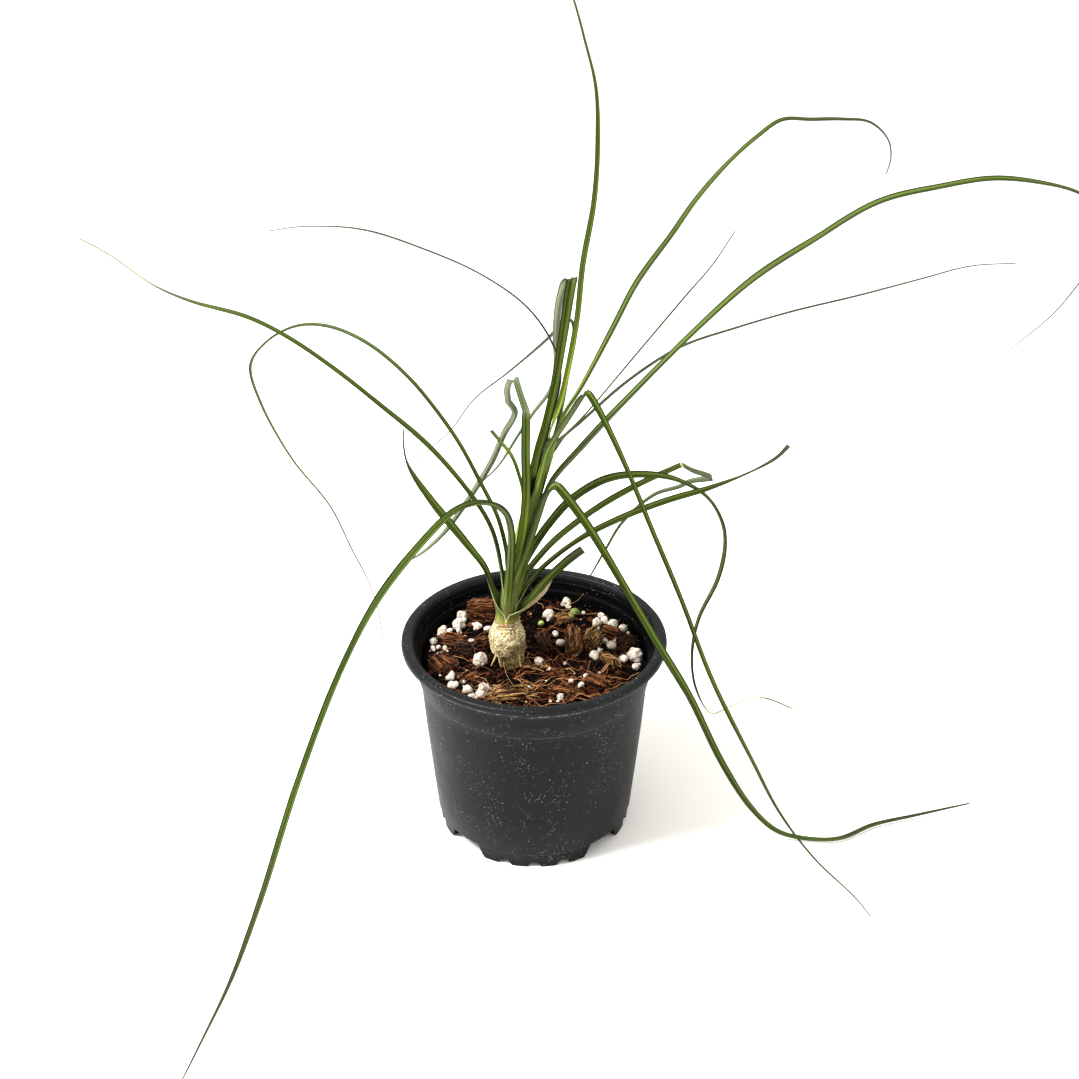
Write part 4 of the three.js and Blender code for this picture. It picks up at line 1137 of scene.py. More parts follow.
# %% Aerial roots
def square_frames(points, start):
    """The line's direction at each point, and a side direction carried along it without twist."""
    points = np.asarray(points, float)
    last = len(points) - 1
    along, sides = [], []
    side = np.asarray(start, float)
    for i in range(last + 1):
        t = points[min(i + 1, last)] - points[max(i - 1, 0)]
        t = t / np.linalg.norm(t)
        side = side - side.dot(t) * t
        side = side / np.linalg.norm(side)
        along.append(t)
        sides.append(side)
    return np.array(along), np.array(sides)


def centripetal(route, steps):
    """Even, smooth points through a route, with the given number of steps to each span."""
    p = np.asarray(route, float)
    p = np.vstack([2 * p[0] - p[1], p, 2 * p[-1] - p[-2]])
    out = []
    for a, b, c, d in zip(p, p[1:], p[2:], p[3:]):
        ab, bc, cd = (np.linalg.norm(v) ** 0.5 for v in (b - a, c - b, d - c))
        leave = ((b - a) / ab - (c - a) / (ab + bc) + (c - b) / bc) * bc
        arrive = ((c - b) / bc - (d - b) / (bc + cd) + (d - c) / cd) * bc
        for t in np.arange(steps) / steps:
            square, cube = t * t, t * t * t
            out.append(b + leave * t + (3 * (c - b) - 2 * leave - arrive) * square
                       + (2 * (b - c) + leave + arrive) * cube)
    out.append(p[-2])
    return np.array(out)


def round_line(route, thick, thin, steps=5, sides=10):
    """Rings of a round line that tapers along a route."""
    points = centripetal(route, steps)
    along, across = square_frames(points, (0.3, 0.9, 0.2))
    rings = []
    for i, (p, t, s) in enumerate(zip(points, along, across)):
        r = thick + (thin - thick) * i / (len(points) - 1)
        r *= 1 + 0.25 * noise.noise(Vector(p) / 0.9)
        up = np.cross(t, s)
        rings.append([p + r * (math.cos(a) * s + math.sin(a) * up)
                      for a in np.linspace(0, FULL_TURN, sides, endpoint=False)])
    return rings


ROOTS = [
    dict(name="aerial_root_left", thick=0.48,
         route=[(-14.8, -5.4, 83.8), (-15.6, -6.6, 81.4), (-16.6, -7.4, 79.4), (-17.4, -7.8, 77.6)]),
    dict(name="aerial_root_front", thick=0.4,
         route=[(-14.2, -6.4, 83.4), (-14.2, -7.4, 81.2), (-13.9, -7.9, 79.2), (-13.3, -8.2, 77.2)]),
    dict(name="aerial_root_right", thick=0.5,
         route=[(-6.8, -6, 83.2), (-6, -6.8, 81), (-5.8, -7.3, 79), (-5.1, -7.7, 76.6)]),
]
ROOT_TIP = 0.22
root_skin = Finish("aerial_root_skin", Roughness=0.7)
root_skin.feed("Base Color", root_skin.mix(root_skin.cloud(1.2, 4), "#a3854f", "#ecd6a4"))
root_skin.relief(root_skin.cloud(0.4, 3), 0.15)
for root in ROOTS:
    rings = round_line(root["route"], root["thick"], ROOT_TIP)
    new_object(root["name"], ring_mesh(root["name"], rings, root_skin.material))
print(len(ROOTS), "aerial roots")

# %% [markdown]
# ## The shoot
#
# Above the bark, the bases of the leaves wrap round each other into one green shoot. The core inside them
# is a plain leaning stem, and what is seen are the wrapped bases, which belong to the leaves.

# %% Core of the shoot
SHOOT_ROUTE = [(-10.8, -2, 96.35), (-10.2, -2, 101), (-9.6, -2, 106), (-8.2, -2, 115), (-6.2, -1.9, 125),
               (-4, -1.8, 135), (-0.2, -1.5, 150), (3.4, -1.2, 165), (5, -1, 172), (6.1, -0.9, 177)]
SHOOT_R = [4.8, 4.4, 4, 3.6, 3.2, 3, 2.9, 2.9, 2.5, 1.5]
CORE_INSET = 1.9


def shoot_at(z):
    """Middle and radius of the shoot at a height."""
    heights = [p[2] for p in SHOOT_ROUTE]
    x = np.interp(z, heights, [p[0] for p in SHOOT_ROUTE])
    y = np.interp(z, heights, [p[1] for p in SHOOT_ROUTE])
    return np.array([x, y, z]), float(np.interp(z, heights, SHOOT_R))


core_rings = []
for z in np.linspace(95.6, 176, 80):
    middle, r = shoot_at(z)
    core_rings.append([middle + (r - CORE_INSET) * np.array([math.cos(a), math.sin(a), 0])
                       for a in trunk_angles[::4]])
shoot_skin = Finish("shoot_core", Roughness=0.5)
shoot_streaks = shoot_skin.cloud(1.2, 4, shoot_skin.stretched(1, 1, 0.12))
core_green = shoot_skin.mix(shoot_streaks, "#5c6a2c", "#93a058")
low_tint = shoot_skin.step(shoot_skin.z, 125, 104)
shoot_skin.feed("Base Color", shoot_skin.mix(low_tint * 0.5, core_green, "#7d6440"))
shoot_skin.relief(shoot_streaks, 0.3)
new_object("shoot_core", ring_mesh("shoot_core", core_rings, shoot_skin.material), ["crown"])
print("core of the shoot:", len(core_rings), "rings")

# %% [markdown]
# ## The leaves
#
# Each leaf is a long strap with a shallow channel. It starts as a wide sheath that hugs the shoot, narrows
# within a couple of centimetres to the blade, and runs out to a thread. The midrib's route is the one of
# the plain solid. At each point of it the section is bent from an arc round the shoot to a shallow V.
#
# What an entry says, in mm and degrees:
#
# - `heading`: where the leaf goes from the shoot. `roll`: how its section is turned at first, and settled.
# - `sheath`, `wrap`, `spread`: how far its sheath goes down, how far it goes round the shoot to each side,
#   and over what length it narrows.
# - `widths` and `dull` are given by share of the length, `twist` and `bleached` by point of the route.
# - `creased`: the points where it is broken. `scar`: the one where its skin is torn.
# - `fresh`: how yellow-green its base is. `dry`: the share of its length where straw begins. `cut`: its
#   end is cut off square.

# %% Routes of the leaves
LEAVES = [
    dict(name="leaf_front_left_arch", heading=238, roll=(21, 0), sheath=6, wrap=50, spread=26,
         widths=((0, 3.2), (0.42, 3.3), (0.5, 2.5), (0.75, 2.5), (0.84, 2.1), (0.92, 1.2), (1, 0.5)),
         route=[(-11, -7, 103), (-9.5, -8.5, 122), (-9, -11, 140), (-11, -15, 151), (-16, -22, 159),
                (-24, -35, 165), (-31, -48, 166.5), (-50, -77, 155), (-62, -96, 139), (-77, -120, 107),
                (-89, -140, 74), (-98, -153, 53), (-106, -167, 41), (-112, -176, 32)]),
    dict(name="leaf_left_long", heading=167, roll=(-7, -25), sheath=14, dry=0.83,
         dull=((0.76, 0), (0.83, 0.65), (0.9, 0.7), (1, 1)),
         widths=((0, 2.1), (0.3, 2.4), (0.45, 2), (0.65, 1.9), (0.72, 2), (0.78, 1.5), (0.84, 0.8),
                 (1, 0.4)),
         route=[(-13, -0.5, 111), (-14.5, 1.5, 126), (-18, 2.5, 138), (-27, 4, 153), (-41, 8, 169),
                (-59, 12, 184), (-76, 16, 197), (-93, 20, 208), (-108, 23, 215), (-131, 28, 220),
                (-145, 32, 225), (-161, 35, 236), (-172, 38, 241)]),
    dict(name="leaf_left_loop", heading=152, roll=(-32, -8), sheath=16, dry=0.88,
         widths=((0, 1.9), (0.3, 1.8), (0.5, 1.6), (0.57, 1.7), (0.66, 1.2), (0.73, 0.9), (0.9, 0.7),
                 (1, 0.4)),
         route=[(-10, 2, 117), (-12.5, 6, 130.5), (-15, 7, 139.5), (-21, 11, 151), (-29, 15, 166),
                (-38, 20, 178), (-49, 25, 190), (-64, 33, 200), (-80, 42, 204), (-94, 49, 202),
                (-109, 57, 192), (-117, 61, 180), (-114, 60, 164), (-102, 54, 141), (-86, 45, 123),
                (-77, 38, 105.5), (-71, 32, 96), (-67, 29, 84), (-65, 28, 67)]),
    dict(name="leaf_left_short", heading=152, roll=(28, -25), sheath=4.2, wrap=92, spread=10,
         widths=((0, 2.9), (0.3, 3), (0.45, 3.6), (0.55, 3.6), (0.7, 2.8), (0.78, 1.9), (0.85, 0.8),
                 (1, 0.6)),
         route=[(-15.7, -2, 101), (-17, -2, 109), (-20, -0.5, 119.5), (-28, 4, 129), (-40, 11, 142),
                (-49.5, 15, 157), (-51, 16, 167), (-50.5, 16, 172)]),
    dict(name="leaf_folded_upright", heading=131, roll=(-50, -38), fresh=0.6, sheath=22, dry=0.9,
         creased=(4, 6, 7, 9),
         bleached=((3.8, 0), (4, 0.65), (4.3, 0.45), (5.8, 0.5), (6.2, 0.65), (9, 0.6), (11, 0.4),
                   (16, 0.25)), dull=((0, 0), (1, 0)),
         twist=((6, 0), (7, 60), (9, 50), (11, 85), (13, 90), (16, 120)),
         widths=((0, 3.2), (0.2, 3.5), (0.27, 3.4), (0.29, 2.7), (0.33, 2.4), (0.37, 2.6), (0.6, 2.5),
                 (0.75, 2.2), (0.85, 1.5), (1, 0.4)),
         route=[(-9, -6, 120), (-5.5, -6.5, 133), (-3, -6, 152.5), (-3, -5, 173), (-2.8, -4, 188.8),
                (-4.8, -2.6, 194.5), (-6.6, -0.8, 200), (-8.6, 2.5, 198), (-9.8, 5.5, 192.5),
                (-9.4, 7.5, 187), (-7.2, 9.5, 181.5), (-12, 14, 170), (-17, 19, 156), (-31, 36, 125),
                (-40, 46, 108), (-53, 61, 89), (-66, 76, 76)]),
    dict(name="leaf_folded_tall", heading=128, roll=(-20, -32), fresh=0.6, sheath=34, creased=(6,),
         dull=((0, 0), (1, 0)), twist=((6, 0), (7, 45), (11, 55), (12, 75), (16, 85)),
         bleached=((5.9, 0), (6.3, 0.5), (8, 0.5), (10, 0.4), (11, 0.2), (16, 0.25)),
         widths=((0, 3), (0.15, 3.1), (0.3, 3.8), (0.39, 4.2), (0.42, 3), (0.52, 2.7), (0.6, 2),
                 (0.7, 1.6), (0.85, 1.3), (1, 0.7)),
         route=[(-1.8, -0.6, 160), (0.9, 0.4, 170), (4.5, 2.5, 182), (8, 6, 197), (11, 10, 215),
                (13, 14, 228), (14, 16, 233), (11.5, 17.5, 229.5), (10, 18.5, 224.5), (9, 20.5, 217),
                (8.5, 23.5, 208), (8.5, 31, 191.5), (6.5, 38, 179), (-1, 45, 165), (-6.5, 50, 154),
                (-15, 56, 137), (-22, 61, 127)]),
    dict(name="leaf_top_spear", heading=80, roll=(0, 0), fresh=1, sheath=30,
         widths=((0, 2.3), (0.4, 2.2), (0.6, 1.8), (0.66, 1.5), (0.74, 1), (0.85, 0.7), (1, 0.4)),
         route=[(6.5, -0.5, 178), (8.7, 1.5, 185), (11.5, 4, 195), (16, 9, 219), (18, 13, 239),
                (22, 18, 262), (23, 22, 283), (22, 25, 300), (18, 28, 315), (14, 31, 328), (9, 34, 340),
                (5, 36, 350)]),
    dict(name="leaf_right_high_arc", heading=22, roll=(-40, 20), fresh=1, sheath=34,
         widths=((0, 3), (0.25, 3.1), (0.4, 2.6), (0.52, 2.3), (0.6, 1.8), (0.67, 1.9), (0.8, 1.5),
                 (0.88, 1), (1, 0.4)),
         route=[(7.5, -3, 169), (10.5, -1.5, 184), (18, 1.5, 196), (29, 6, 216), (38, 10, 233),
                (50, 14, 249.5), (59, 18, 262), (70, 22, 274), (80, 26, 282), (89, 30, 287),
                (101, 35, 286), (113, 40, 285), (124, 44, 283), (132, 47, 276), (134, 48, 269),
                (133, 48, 263)]),
    dict(name="leaf_right_long_arch", heading=-4, roll=(-20, 22), fresh=0.5, sheath=26, dry=0.97,
         spread=14,
         widths=((0, 3.6), (0.45, 3.2), (0.52, 2.6), (0.6, 2.9), (0.7, 2.4), (0.76, 1.3), (0.86, 0.9),
                 (0.93, 0.5), (1, 0.3)),
         route=[(-2, -4, 127), (1, -4.5, 140), (6, -4.5, 157.5), (18.7, -5, 174.5), (35, -7, 195),
                (58.5, -8, 222), (77, -9, 240.5), (96, -11, 255), (117, -12, 269), (137, -14, 275),
                (154, -15, 278), (169, -16, 277), (182, -17, 274), (192, -18, 268), (196, -18, 259),
                (188, -17, 242), (181, -17, 231), (168, -16, 217)]),
    dict(name="leaf_thread_right_steep", heading=42, roll=(0, 0), fresh=1, sheath=14,
         dull=((0, 0.7), (1, 0.7)),
         widths=((0, 0.9), (0.2, 0.8), (0.7, 0.8), (1, 0.5)),
         route=[(7, 1.5, 171.5), (17, 10.5, 177.5), (24, 17, 183), (41, 32, 198), (60.3, 50, 214.5),
                (71, 59, 224), (80, 67, 235)]),
    dict(name="leaf_thread_right_long", heading=24, roll=(0, 0), fresh=1, sheath=14,
         dull=((0, 0.9), (1, 0.9)),
         widths=((0, 1.4), (0.3, 1.3), (0.5, 1), (0.65, 0.8), (0.8, 0.7), (1, 0.4)),
         route=[(8, 0, 170), (12.5, 2, 176), (18, 4, 180.5), (36, 12, 194), (56, 21, 204),
                (78, 31, 208), (101, 41, 211), (128, 53, 213), (156, 65, 216), (178, 75, 218),
                (200, 85, 216)]),
    dict(name="leaf_kinked_front_right", heading=-27, roll=(-63, 22),
         twist=((0, 0), (2, -8), (3, -15), (4, -18), (5, 0)), fresh=0.3, sheath=30, spread=12,
         creased=(5,),
         widths=((0, 3), (0.2, 3), (0.23, 2.6), (0.3, 2.1), (0.5, 2.1), (0.65, 2), (0.72, 1.5),
                 (0.82, 1.1), (1, 0.5)),
         route=[(0.8, -5.6, 151), (3.8, -6.8, 165.5), (6, -7, 174), (12.5, -9, 186.5), (17, -11, 195.5),
                (19, -12, 199.7), (20.5, -13, 198), (25, -16, 191), (34, -21, 173), (43.5, -26, 150.5),
                (55, -32, 124), (68, -39, 92), (84, -47, 61), (96, -53, 39), (110, -60, 22),
                (126, -68, 9), (132, -72, 3)]),
    dict(name="leaf_kinked_trailing", heading=-8, roll=(-52, 38),
         twist=((0, 0), (2, -15), (3, -20), (4, -15), (5, 0)), sheath=17, spread=14, creased=(5,),
         widths=((0, 4.2), (0.15, 3.9), (0.28, 3.1), (0.43, 3.5), (0.5, 2.9), (0.6, 2.7), (0.72, 2),
                 (0.78, 1.7), (0.82, 2), (0.9, 1.5), (1, 0.7)),
         route=[(-6.1, -6.3, 114), (-4, -7.5, 124), (-1.5, -8.5, 133), (2.5, -9, 147.5),
                (5.5, -9.8, 157.5), (8, -10.6, 161), (11, -11.6, 158), (19.5, -14, 146.5),
                (33.7, -17.5, 122.5), (48, -20.5, 97), (61.4, -22.5, 73.5), (76, -23.5, 41.5),
                (89.5, -24, 18.5), (101, -24, 6), (111, -24, 2), (127, -25, 2), (144, -16, 2),
                (163, -10, 2), (189, -2, 2)]),
    dict(name="leaf_right_hook", heading=14, roll=(53, 18), sheath=18, dry=0.755,
         dull=((0, 0), (0.66, 0), (0.75, 0.7), (0.78, 0), (0.885, 0), (0.9, 1), (0.95, 1), (0.97, 0)),
         widths=((0, 3.3), (0.2, 3.6), (0.28, 3.4), (0.33, 2.4), (0.38, 1.8), (0.44, 2.3), (0.5, 2.7),
                 (0.57, 2.4), (0.67, 2.2), (0.74, 1.6), (0.77, 0.9), (1, 0.5)),
         route=[(-6, 2, 117), (-1, 3, 125), (5.5, 3, 136), (15.3, 6, 146.5), (28.5, 9, 153.5),
                (42, 12, 154), (56, 16, 150), (69, 19, 141), (76, 21, 129), (78, 21, 119),
                (76, 21, 102), (69, 19, 84), (67, 18, 67), (70, 19, 47), (78, 21, 33), (85, 23, 35),
                (98, 26, 38), (113, 30, 30), (123, 32, 22)]),
    dict(name="leaf_right_folded", heading=33, roll=(6, 20), sheath=15, creased=(5, 8), scar=5,
         twist=((5, 5), (6, 22), (7.6, 22), (8.4, 0), (9, -10), (16, -20)),
         bleached=((5, 0), (5.3, 0.5), (8, 0.5), (8.3, 0.6), (11, 0.4), (14, 0.2), (16, 0.2)),
         widths=((0, 2.8), (0.3, 2.9), (0.42, 2.5), (0.46, 2.5), (0.56, 2.6), (0.62, 2), (0.7, 1.7),
                 (0.85, 1.3), (1, 0.6)),
         route=[(-5, 1.5, 112), (-0.5, 3.5, 118), (8.5, 6, 128), (24.5, 14, 137.5), (42, 25, 143),
                (60.6, 38.5, 145.5), (65.5, 42, 141), (70, 44, 138.5), (74.5, 46, 136),
                (71, 47.8, 134.5), (65, 49.5, 132.5), (61.5, 51, 129.5), (51, 54, 124), (38, 57, 109),
                (31, 59, 94), (26, 61, 82), (22, 62, 73)]),
    dict(name="leaf_right_cut", heading=14, roll=(0, 25), sheath=9, cut=True,
         widths=((0, 2.6), (0.25, 2.2), (0.38, 2.9), (0.62, 2.9), (0.68, 2.6), (0.76, 1.8), (0.82, 1),
                 (0.87, 0.9), (0.92, 1.4), (1, 1.9)),
         route=[(-4.8, -1.5, 106), (-1.8, -2.5, 113), (5.5, -2, 122), (19, 1, 132), (35, 5, 139),
                (52, 10, 143.5), (69, 14, 147), (85, 18, 152), (96, 21, 157), (101, 22, 162)]),
    dict(name="leaf_right_stub", heading=8, roll=(-24, 30), sheath=3.6, wrap=76, spread=9, cut=True,
         widths=((0, 3.9), (1, 3.8)),
         route=[(-5.2, -4.6, 100.5), (-0.5, -5, 107.5), (3.5, -5, 113.5), (13.5, -3, 123.3),
                (19.6, -1, 127.5)]),
    dict(name="leaf_left_stub", heading=155, roll=(25, -15), fresh=1, sheath=20, cut=True,
         widths=((0, 1.8), (1, 1.7)),
         route=[(-4.7, -1.2, 147), (-5.2, 0, 156.5), (-8.5, 2, 167), (-13.5, 5, 172.5),
                (-16.5, 7, 175.5)]),
    dict(name="leaf_thread_left", heading=150, roll=(-43, 0), sheath=16, dull=((0, 1), (1, 1)),
         widths=((0, 1), (0.7, 0.9), (1, 0.4)),
         route=[(3, 2.5, 168), (6, 6, 179), (10, 14, 196.5), (6, 20, 208), (-3, 25, 219),
                (-20, 35, 228), (-43, 48, 234), (-68, 63, 237), (-93, 77, 234), (-110, 87, 229)]),
    dict(name="leaf_thread_back", heading=120, roll=(-50, 0), sheath=18, dull=((0, 0.9), (1, 0.9)),
         widths=((0, 1.6), (0.35, 1.6), (0.45, 1.2), (0.55, 0.9), (0.65, 0.7), (1, 0.4)),
         route=[(4.5, 2.5, 164), (9, 6, 178), (13.5, 15, 201), (15, 24, 211), (13, 30, 212),
                (6, 36, 202), (-10, 55, 180), (-26, 74, 159), (-37, 87, 139), (-55, 108, 114)]),
]
NEVER = 2
PLAIN_LEAF = dict(sheath=12, wrap=82, spread=8, fresh=0, dry=NEVER, cut=False, creased=(),
                  dull=((0.68, 0), (1, 0.8)), bleached=((0, 0), (1, 0)), twist=((0, 0), (1, 0)))
LEAVES = [PLAIN_LEAF | leaf for leaf in LEAVES]
print(len(LEAVES), "leaves")

# %% Width and sheath
CHANNEL = 0.7
ACROSS = 13
STEPS, SHEATH_STEPS = 9, 15
SETTLE = 0.35
BLADE_T, THREAD_T, THREAD_MAX_W = 0.5, 0.45, 1.6
OVER_SHOOT, LAYER = -0.3, 0.12
DRAWN_IN, DRAWN_UNTIL = 0.9, 14
LOWEST_SHEATH, ON_BARK = 96.2, 97
ROOTED, ROOTED_DEEPER = 3.5, 0.6
OPENING = 9
WRAP_STEP = 4
SHEATH_FADES, FRESH_FADES = 18, 55
SCAR_REACH = 0.7
NO_SCAR = 9


def half_width(leaf, s, length, sheath_length, base_half):
    """Half of the width at a distance from where the leaf leaves the shoot: wrapped sheath, blade, tip."""
    half = between(leaf["widths"], max(s, 0) / length) / 2
    wrap = max(1 - (s + sheath_length) / (sheath_length + leaf["spread"]), 0)
    return half + max(base_half - half, 0) * wrap


def leaf_line(leaf):
    """Smooth points through a leaf's route, broken off short where it is creased."""
    breaks = [0, *leaf["creased"], len(leaf["route"]) - 1]
    parts = [centripetal(leaf["route"][a:b + 1], STEPS) for a, b in zip(breaks, breaks[1:])]
    return np.vstack([parts[0], *[part[1:] for part in parts[1:]]])


def blade_path(leaf, over):
    """Points, across directions, distances from the sheath's end and distances from the shoot's middle."""
    points = leaf_line(leaf)
    middle, r = shoot_at(points[0][2])
    out = (points[0] - middle)[:2]
    reach = np.linalg.norm(out) - DRAWN_IN
    phi = math.atan2(out[1], out[0])
    walked = np.concatenate([[0], np.cumsum(np.linalg.norm(np.diff(points, axis=0), axis=1))])
    for i, s in enumerate(walked):
        points[i] -= DRAWN_IN * (1 - ease(s, 0, DRAWN_UNTIL)) * np.array([math.cos(phi), math.sin(phi), 0])
    h = math.radians(leaf["heading"])
    along, across = square_frames(points, (-math.sin(h), math.cos(h), 0))
    rolled = []
    for i, (t, s) in enumerate(zip(along, across)):
        settled = min(i / (len(points) - 1) / SETTLE, 1)
        turn = leaf["roll"][0] + (leaf["roll"][1] - leaf["roll"][0]) * settled
        turn += between(leaf["twist"], i / STEPS)
        rolled.append(Quaternion(Vector(t), math.radians(turn)) @ Vector(s))
    first = points[0]
    low = max(first[2] - leaf["sheath"], LOWEST_SHEATH)
    sunk = 0 if low < ON_BARK else CORE_INSET + ROOTED_DEEPER
    sheath, hug = [], []
    for share in np.linspace(0, 1, SHEATH_STEPS + 1)[:-1]:
        z = low + (first[2] - low) * share
        middle, r = shoot_at(z)
        rooted = sunk * (1 - ease(z - low, 0, ROOTED))
        near = (r + over - rooted) * (1 - share ** 3) + reach * share ** 3
        sheath.append(middle + near * np.array([math.cos(phi), math.sin(phi), 0]))
        hug.append(near)
    path = np.vstack([sheath, points])
    sides = [Vector((-math.sin(phi), math.cos(phi), 0))] * len(sheath) + rolled
    steps = np.linalg.norm(np.diff(path, axis=0), axis=1)
    run = np.concatenate([[0], np.cumsum(steps)]) - steps[:len(sheath)].sum()
    for s in run[len(sheath):]:
        hug.append(reach * (1 + (s / OPENING) ** 2))
    return path, sides, run, hug


print("sheaths lie on the shoot in layers of", LAYER, "mm")

# %% Creases and sections
def creases(path, run):
    """How sharply a leaf is folded at each point, 0 to 1: it has buckled where it turns within a few mm."""
    reach = 1.3
    sharp = []
    for p, s in zip(path, run):
        back = path[np.searchsorted(run, s - reach)]
        ahead = path[min(np.searchsorted(run, s + reach), len(path) - 1)]
        a, b = p - back, ahead - p
        size = np.linalg.norm(a) * np.linalg.norm(b)
        turn = math.acos(max(-1, min(1, float(np.dot(a, b)) / size))) if size > 0.2 else 0
        sharp.append(ease(turn, 0.35, 0.9) if s > 8 else 0)
    return sharp


def section(half, near, flat, channel, thick):
    """Points of a cross-section as (sideways, upwards): the upper face from right to left, then the lower."""
    top, below = [], []
    for j in np.linspace(-1, 1, ACROSS):
        angle = j * half / near
        arc = np.array([near * math.sin(angle), near * (1 - math.cos(angle))])
        keel = math.sqrt(j * j + 0.008) - 0.09
        vee = np.array([j * half * 0.97, keel * half * channel])
        here = arc * (1 - flat) + vee * flat
        outward = np.array([math.sin(angle), -math.cos(angle)]) * (1 - flat) + np.array([0, -1]) * flat
        midrib = 1 + 0.35 * max(1 - abs(j) / 0.22, 0)
        deep = min(thick, 0.35 * half + 0.1) * (1 - 0.6 * abs(j) ** 4) * midrib
        top.append(here)
        below.append(here + outward / np.linalg.norm(outward) * deep)
    return top[::-1] + below


def blade_rings(leaf, over):
    """Rings of a leaf and what each point carries for the finish."""
    path, sides, run, hug = blade_path(leaf, over)
    thick = BLADE_T if leaf["widths"][0][1] > THREAD_MAX_W else THREAD_T
    length, sheath_length = run[-1], -run[0]
    base_half = math.radians(leaf["wrap"]) * hug[WRAP_STEP]
    along, _ = square_frames(path, sides[0])
    rows = np.linspace(-1, 1, ACROSS)
    carried = ("along", "across", "under", "sheath", "dry", "crease", "fresh", "dull", "scar")
    rings, marks = [], {name: [] for name in carried}
    bleached = [(run[SHEATH_STEPS + int(STEPS * point)], strength) for point, strength in leaf["bleached"]]
    phase = noise.noise(Vector(leaf["route"][1]))
    for p, t, side, s, near, fold in zip(path, along, sides, run, hug, creases(path, run)):
        across = np.array(side) - np.dot(side, t) * t
        across = across / np.linalg.norm(across)
        up = np.cross(t, across)
        half = half_width(leaf, s, length, sheath_length, base_half)
        half *= (1 + 0.05 * noise.noise(Vector((s / 9, 7 * phase, 0)))) * (1 + 0.15 * fold)
        channel = CHANNEL * (1 + 0.25 * math.sin(s / 17 + 5 * phase)) * (1 - 0.85 * fold)
        flat = ease(s, -1, leaf["spread"] * 0.6 + 8)
        rings.append([p + a * across + n * up for a, n in section(half, near, flat, channel, thick)])
        share = max(s, 0) / length
        dry = ease(share, leaf["dry"], leaf["dry"] + 0.05)
        if leaf["cut"]:
            dry = max(dry, 0.3 * ease(s, length - 0.7, length))
        marks["across"].append(np.concatenate([rows[::-1], rows]))
        marks["under"].append([0.0] * ACROSS + [1.0] * ACROSS)
        all_round = {
            "along": s,
            "sheath": 1 - ease(s, -sheath_length * 0.6, SHEATH_FADES),
            "dry": dry,
            # A sharp bend is lightened a little: a painted highlight on the fold. The table of bleached limbs
            # is added to it.
            "crease": max(0.15 * fold, between(bleached, s)),
            "fresh": leaf["fresh"] * (1 - ease(s, 0, FRESH_FADES)),
            "dull": between(leaf["dull"], share),
            "scar": abs(s - run[SHEATH_STEPS + STEPS * leaf["scar"]]) if "scar" in leaf else NO_SCAR,
        }
        for name, value in all_round.items():
            marks[name].append(value * np.ones(2 * ACROSS))
    return rings, marks


print("sections of", 2 * ACROSS, "points")

# %% [markdown]
# ### The leaf's finish
#
# A strap leaf has fine parallel veins, a pale margin, a greyer underside and a deep olive green upper side.
# Painted shade lies down its channel and along its edges, and a painted highlight on the rails beside the
# channel, brighter on one side. Towards its base it fades to the pale green of the sheath, young leaves to a
# fresher one. Limbs beyond a crease have bleached and a sharp bend carries a small painted highlight, one
# crease has torn to a light scar, thread leaves are dull, and some tips have dried to straw. All of these
# follow the leaf and not the room, so the finish reads the attributes that every leaf carries.

# %% Strap leaf
strap = Finish("strap_leaf", Specular_IOR_Level=0.22)
run_mm = strap.carried("along")
off = strap.carried("across")
aside = strap.math("ABSOLUTE", off)
under = strap.carried("under")
sheathed = strap.carried("sheath")
dried = strap.carried("dry")
creased = strap.carried("crease")
fresh = strap.carried("fresh")
dull = strap.carried("dull")
streaks = strap.cloud(1, 4, strap.vector(run_mm * 0.05, off * 3.0, under * 7))
veins = strap.cloud(1, 2, strap.vector(run_mm * 0.03, off * 14, under * 5))
stripes = strap.step(streaks, 0.36, 0.64)
lit_veins = strap.step(veins, 0.45, 0.7)
# Painted light on the blade: a painted highlight on the rail at each side of the channel, stronger on one
# side, and painted shade down the channel.
drift = strap.cloud(1, 1, strap.vector(run_mm * 0.02, 0.0, 3.0)) - 0.5
rail_painted_highlight = strap.band(off + drift * 0.3, 0.46, 0.3) + strap.band(off, -0.46, 0.26) * 0.45
channel_painted_shade = strap.band(off - drift * 0.5, -0.02, 0.24)
low_margin = sheathed * strap.step(strap.z, 130, 112)
upper = strap.painted(
    strap.mix(stripes, "#253208", "#42530f"),
    (lit_veins * 0.35, "#5f702a"),
    (rail_painted_highlight * 0.6, "#6e7f34"),
    (channel_painted_shade * 0.5, "#1e2909"),
    (fresh * (0.4 + stripes * 0.45), "#94a63a"))
lower = strap.painted(
    strap.mix(stripes, "#323d1f", "#56623b"),
    (lit_veins * 0.35 + rail_painted_highlight * 0.35, "#89926b"),
    (channel_painted_shade * 0.5, "#28321a"))
pale_base = strap.mix(stripes, "#55672b", "#a1af66")
bleach = strap.mix(strap.step(veins, 0.4, 0.62), "#4f5a48", "#a5ac9a")
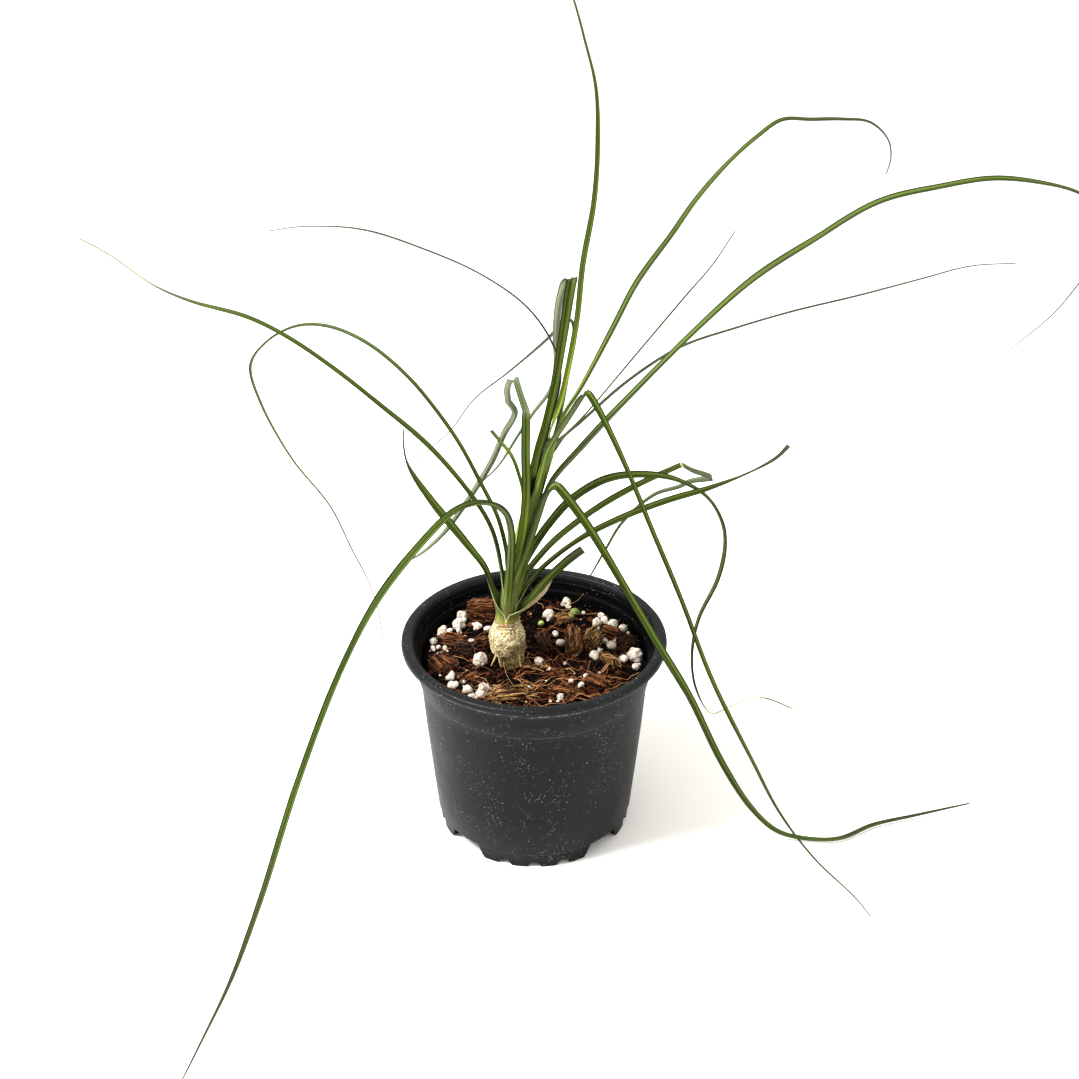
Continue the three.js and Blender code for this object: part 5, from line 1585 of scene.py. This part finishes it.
# The edges are darkened with painted shade, less where the margin is pale, the leaf fresh or the limb
# creased.
rim_painted_shade = strap.step(aside, 0.66, 0.94) * (0.8 - low_margin * 0.5 - fresh * 0.3 - creased * 0.5)
scar = strap.step(strap.carried("scar"), SCAR_REACH, 0.4 * SCAR_REACH)
low_down = strap.step(strap.z, 124, 102) * strap.step(strap.cloud(6, 3), 0.4, 0.64)
blade = strap.painted(
    strap.mix(under * strap.step(run_mm, 12, 50), upper, lower),
    (strap.step(strap.cloud(24, 3), 0.36, 0.66) * 0.22, "#5a681a"),
    (sheathed * 0.6, pale_base),
    (creased * 0.8, bleach),
    (strap.step(creased, 0.55, 0.9) * 0.4, "#a9b39c"),
    (dull * 0.8, "#4c4d47"),
    (rim_painted_shade, "#182207"),
    (scar * 0.9, "#ecd9a0"),
    (low_down * sheathed * 0.5, "#6d5433"),
    (strap.step(strap.z, 100, 96.5) * sheathed * 0.5, "#b09a58"),
    (strap.step(aside, 0.88, 0.98) * low_margin * 0.85, "#c9cf98"),
    (strap.step(strap.cells(5), 0.07, 0.03) * 0.6, "#3a2c12"))
straw = strap.painted(strap.mix(streaks, "#ddd0ae", "#f6f0e0"), (dull, "#6b5f35"))
strap.feed("Base Color", strap.mix(dried * 0.9, blade, straw))
strap.feed("Roughness", 0.4 + streaks * 0.2 + dried * 0.25)
strap.relief(veins * 0.8 + streaks * 0.5, 0.12)
print("leaf finish reads", [n.attribute_name for n in strap.tree.nodes if n.type == "ATTRIBUTE"])

# %% Build the leaves
LAPPED = 16
for leaf in LEAVES:
    low = leaf["route"][0][2]
    outside = [other for other in LEAVES if low - LAPPED < other["route"][0][2] < low]
    rings, marks = blade_rings(leaf, OVER_SHOOT - LAYER * len(outside))
    blade_name = leaf["name"] + "_blade"
    mesh = ring_mesh(blade_name, rings, strap.material, sharp=60, pointed=(False, not leaf["cut"]),
                     carried=marks)
    made = new_object(blade_name, mesh, [leaf["name"]])
    print(blade_name, len(made.data.polygons), "faces")

# %% [markdown]
# ## The dry bract
#
# On the right of the trunk's top one old leaf has dried to a papery, pointed scale. It is built as a leaf
# too, but short, wide at its foot and pointed, and it has a finish of its own.

# %% Papery bract
paper = Finish("papery_bract", Roughness=0.75)
lengthwise = paper.vector(paper.carried("along") * 0.15, paper.carried("across") * 5, 0.0)
paper_streaks = paper.cloud(0.8, 5, lengthwise)
paper.feed("Base Color", paper.painted(
    paper.mix(paper_streaks, "#9c7c50", "#ece0c4"),
    (paper.step(paper.cloud(3, 3), 0.5, 0.7) * 0.5, "#c3a07c")))
paper.relief(paper_streaks, 0.3)
bract = PLAIN_LEAF | dict(
    heading=30, roll=(-25, -40), sheath=1.5, spread=6,
    widths=((0, 4.4), (0.45, 4), (0.8, 1.8), (1, 0.4)),
    route=[(-6, 1.3, 97.4), (-1.2, 1.6, 101), (4, 2.2, 106.5), (7.6, 3, 113)])
bract_rings, bract_marks = blade_rings(bract, OVER_SHOOT)
bract_mesh = ring_mesh("dry_bract", bract_rings, paper.material, sharp=60, carried=bract_marks)
new_object("dry_bract", bract_mesh, ["bract"])
print("bract rings:", len(bract_rings))

# %% [markdown]
